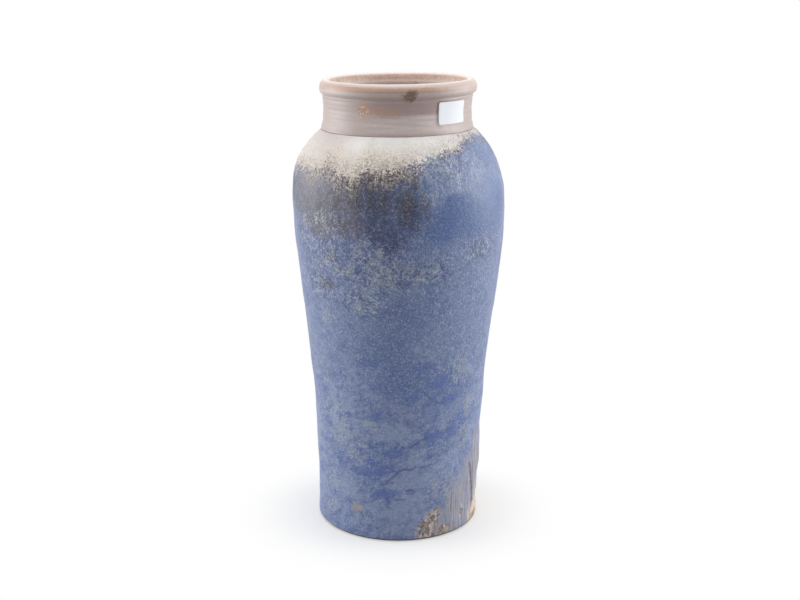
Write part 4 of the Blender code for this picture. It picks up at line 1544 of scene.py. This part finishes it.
class VASE_OT_paper_label(bpy.types.Operator):
    """Stick the blank paper label to the neck, its left edge a little loose"""

    bl_idname = "vase.paper_label"
    bl_label = "Paper label"
    bl_options = {"REGISTER", "UNDO"}

    def execute(self, context):
        size = form()
        line = neck_line()[: NECK_STEPS + 1]
        across = np.linspace(-1, 1, LABEL_COLUMNS)[:, None]
        up = np.linspace(-1, 1, LABEL_ROWS)[None, :]
        low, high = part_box("paper_label")
        centre = math.atan2((low.x + high.x) / 2, -(low.y + high.y) / 2)
        half = size.label_width / 2
        half_height = (LABEL_TOP - LABEL_BOTTOM) / 2
        into_corner = np.clip((np.abs(up) - 1) * half_height / LABEL_CORNER + 1, 0, 1)
        inset = LABEL_CORNER * (1 - np.sqrt(1 - into_corner**2))
        arc = across * (half - inset)
        height = LABEL_BOTTOM + half_height * (1 + up) + 0 * arc
        radius = np.interp(height, line[:, 1], line[:, 0])
        azimuth = centre + arc / size.waist_radius
        loose = smooth(arc, -half + 6 * MM, -half) ** 1.5 * (1 - 0.35 * up)
        curl = smooth(arc, half - 3 * MM, half) * smooth(up, -0.3, -1) * 0.25
        proud = size.clearance + size.label_lift * (loose + curl)
        back = as_thrown(at(azimuth, radius + proud, height))
        face = as_thrown(at(azimuth, radius + proud + LABEL_THICKNESS, height))
        columns, rows = height.shape
        index = np.arange(columns * rows).reshape(columns, rows)
        corners = [index[:-1, :-1], index[1:, :-1], index[1:, 1:], index[:-1, 1:]]
        quads = np.stack(corners, axis=-1).reshape(-1, 4)
        faces = quads.tolist() + (quads[:, ::-1] + columns * rows).tolist()
        edge = np.concatenate([index[:-1, 0], index[-1, :-1], index[:0:-1, -1], index[0, :0:-1]])
        back_edge = edge + columns * rows
        rim = np.stack([edge, back_edge, np.roll(back_edge, -1), np.roll(edge, -1)], axis=-1)
        faces += rim.tolist()
        mesh = bpy.data.meshes.new("paper_label")
        places = np.concatenate([face.reshape(-1, 3), back.reshape(-1, 3)])
        mesh.from_pydata(places.tolist(), [], faces)
        dirt = np.maximum(smooth(np.abs(arc), half - 1.2 * MM, half), smooth(np.abs(up), 0.85, 1) + 0 * arc)
        stored(mesh, {"edge": np.tile(dirt.ravel(), 2)})
        mesh.shade_smooth()
        mesh.set_sharp_from_angle(angle=SHARP)
        settle(linked("blank_label", mesh, paper_finish("label_paper")), "label_paper", "paper_label")
        return {"FINISHED"}


def lamp(name, place, target, width, power):
    """A soft square lamp turned to a place."""
    light = bpy.data.lights.new(name, "AREA")
    light.size = width
    light.energy = power
    thing = bpy.data.objects.new(name, light)
    thing.location = place
    direction = Vector(target) - Vector(place)
    thing.rotation_euler = direction.to_track_quat("-Z", "Y").to_euler()
    bpy.context.scene.collection.objects.link(thing)


def seen_directly(tree):
    """1 for rays from the camera, from gloss and through glass, and 0 for soft light."""
    path = laid(tree, "ShaderNodeLightPath")
    near = {0: path["Is Camera Ray"], 1: path["Is Glossy Ray"]}
    near = laid(tree, "ShaderNodeMath", near, operation="MAXIMUM")[0]
    return laid(tree, "ShaderNodeMath", {0: near, 1: path["Is Transmission Ray"]}, operation="MAXIMUM")[0]


class VASE_OT_stage(bpy.types.Operator):
    """Set the camera, the pale floor, the white surroundings and the soft lamps"""

    bl_idname = "vase.stage"
    bl_label = "Stage"
    bl_options = {"REGISTER", "UNDO"}

    def execute(self, context):
        stage = context.scene.vase_stage
        self.floor(stage)
        self.surroundings(context, stage)
        middle = (0.0, 0.0, RIM_Z / 2)
        for name, side in (("left_lamp", -1.08), ("right_lamp", 1.08)):
            lamp(name, (side, 0.14, 0.2), middle, 0.8, stage.side_power)
        lamp("top_lamp", (0.0, 0.0, 1.35), middle, 1.0, stage.top_power)
        view = bpy.data.cameras.new("camera")
        view.lens = stage.lens
        view.sensor_width = 36
        view.shift_x = stage.shift
        camera = bpy.data.objects.new("camera", view)
        camera.location = (0.0, -stage.distance, stage.height)
        camera.rotation_euler = (math.pi / 2 - stage.pitch, 0.0, 0.0)
        context.scene.collection.objects.link(camera)
        context.scene.camera = camera
        context.scene.view_settings.view_transform = "Standard"
        return {"FINISHED"}

    def floor(self, stage):
        """A pale disc that takes the soft shadow near the vase and turns plain white further out."""
        rings, columns = 24, 96
        radius = stage.floor_radius * np.linspace(0, 1, rings + 1)[1:] ** 2
        angle = np.arange(columns) * math.tau / columns
        places = [(0.0, 0.0, 0.0)]
        places += [(r * math.cos(a), r * math.sin(a), 0.0) for r in radius for a in angle]
        faces = [(0, 1 + i, 1 + (i + 1) % columns) for i in range(columns)]
        for j in range(rings - 1):
            near, out = 1 + j * columns, 1 + (j + 1) * columns
            for i in range(columns):
                k = (i + 1) % columns
                faces.append((near + i, out + i, out + k, near + k))
        mesh = bpy.data.meshes.new("floor")
        mesh.from_pydata(places, [], faces)
        brush = Brush("floor")
        tree = brush.tree
        away = laid(tree, "ShaderNodeVectorMath", {0: brush.place}, operation="LENGTH")["Value"]
        # Under the vase the floor shows most of its shadow, and from the outer radius on it is plain white
        inner, outer, least = 0.045, 0.11, 0.32
        share = brush.times(seen_directly(tree), brush.step(away, inner, outer, least, 1.0))
        grain = brush.noise(4 * MM, 2)
        pale = brush.over((0.93, 0.93, 0.93), (0.90, 0.90, 0.91), grain, 0.3)
        eye = laid(tree, "ShaderNodeLightPath")["Is Camera Ray"]
        feed(brush.shader.inputs["Base Color"], brush.over((0.8, 0.8, 0.8), pale, eye))
        feed(brush.shader.inputs["Roughness"], 0.9)
        feed(brush.shader.inputs["Specular IOR Level"], 0.0)
        white = laid(tree, "ShaderNodeEmission", {"Strength": 1.0})[0]
        both = laid(tree, "ShaderNodeMixShader", {0: share, 1: brush.shader.outputs[0], 2: white})[0]
        feed(tree.nodes["Material Output"].inputs["Surface"], both)
        linked("floor", mesh, brush.finish)

    def surroundings(self, context, stage):
        """White all round for the eye and for gloss, and plain soft light for the rest."""
        world = bpy.data.worlds.new("surroundings")
        world.use_nodes = True
        context.scene.world = world
        tree = world.node_tree
        levels = {"Value": seen_directly(tree), "To Min": stage.ambient, "To Max": 1.0}
        sky = tree.nodes["Background"].inputs
        feed(sky["Color"], (1.0, 1.0, 1.0))
        feed(sky["Strength"], laid(tree, "ShaderNodeMapRange", levels)["Result"])


MAKING = (
    VASE_OT_foot_ring,
    VASE_OT_clay_body,
    VASE_OT_neck_collar,
    VASE_OT_body_glaze,
    VASE_OT_fringe_grains,
    VASE_OT_neck_glaze,
    VASE_OT_liner_glaze,
    VASE_OT_paper_label,
    VASE_OT_stage,
)


class VASE_PT_making(bpy.types.Panel):
    """The pieces of the vase in the order of their making"""

    bl_idname = "VASE_PT_making"
    bl_label = "Vase"
    bl_space_type = "VIEW_3D"
    bl_region_type = "UI"
    bl_category = "Vase"

    def draw(self, context):
        scene = context.scene
        for operator in MAKING:
            self.layout.operator(operator.bl_idname)
        for group in (scene.vase_form, scene.vase_glaze, scene.vase_stage):
            column = self.layout.column()
            for name in group.bl_rna.properties.keys():
                if name not in ("rna_type", "name"):
                    column.prop(group, name)


CLASSES = (VaseForm, VaseGlaze, VaseStage, *MAKING, VASE_PT_making)


def register():
    for part in CLASSES:
        bpy.utils.register_class(part)
    bpy.types.Scene.vase_form = PointerProperty(type=VaseForm)
    bpy.types.Scene.vase_glaze = PointerProperty(type=VaseGlaze)
    bpy.types.Scene.vase_stage = PointerProperty(type=VaseStage)


def unregister():
    del bpy.types.Scene.vase_stage
    del bpy.types.Scene.vase_glaze
    del bpy.types.Scene.vase_form
    for part in reversed(CLASSES):
        bpy.utils.unregister_class(part)


def main():
    register()
    bpy.ops.vase.foot_ring()
    bpy.ops.vase.clay_body()
    bpy.ops.vase.neck_collar()
    bpy.ops.vase.body_glaze()
    bpy.ops.vase.fringe_grains()
    bpy.ops.vase.neck_glaze()
    bpy.ops.vase.liner_glaze()
    bpy.ops.vase.paper_label()
    bpy.ops.vase.stage()


if __name__ == "__main__":
    main()
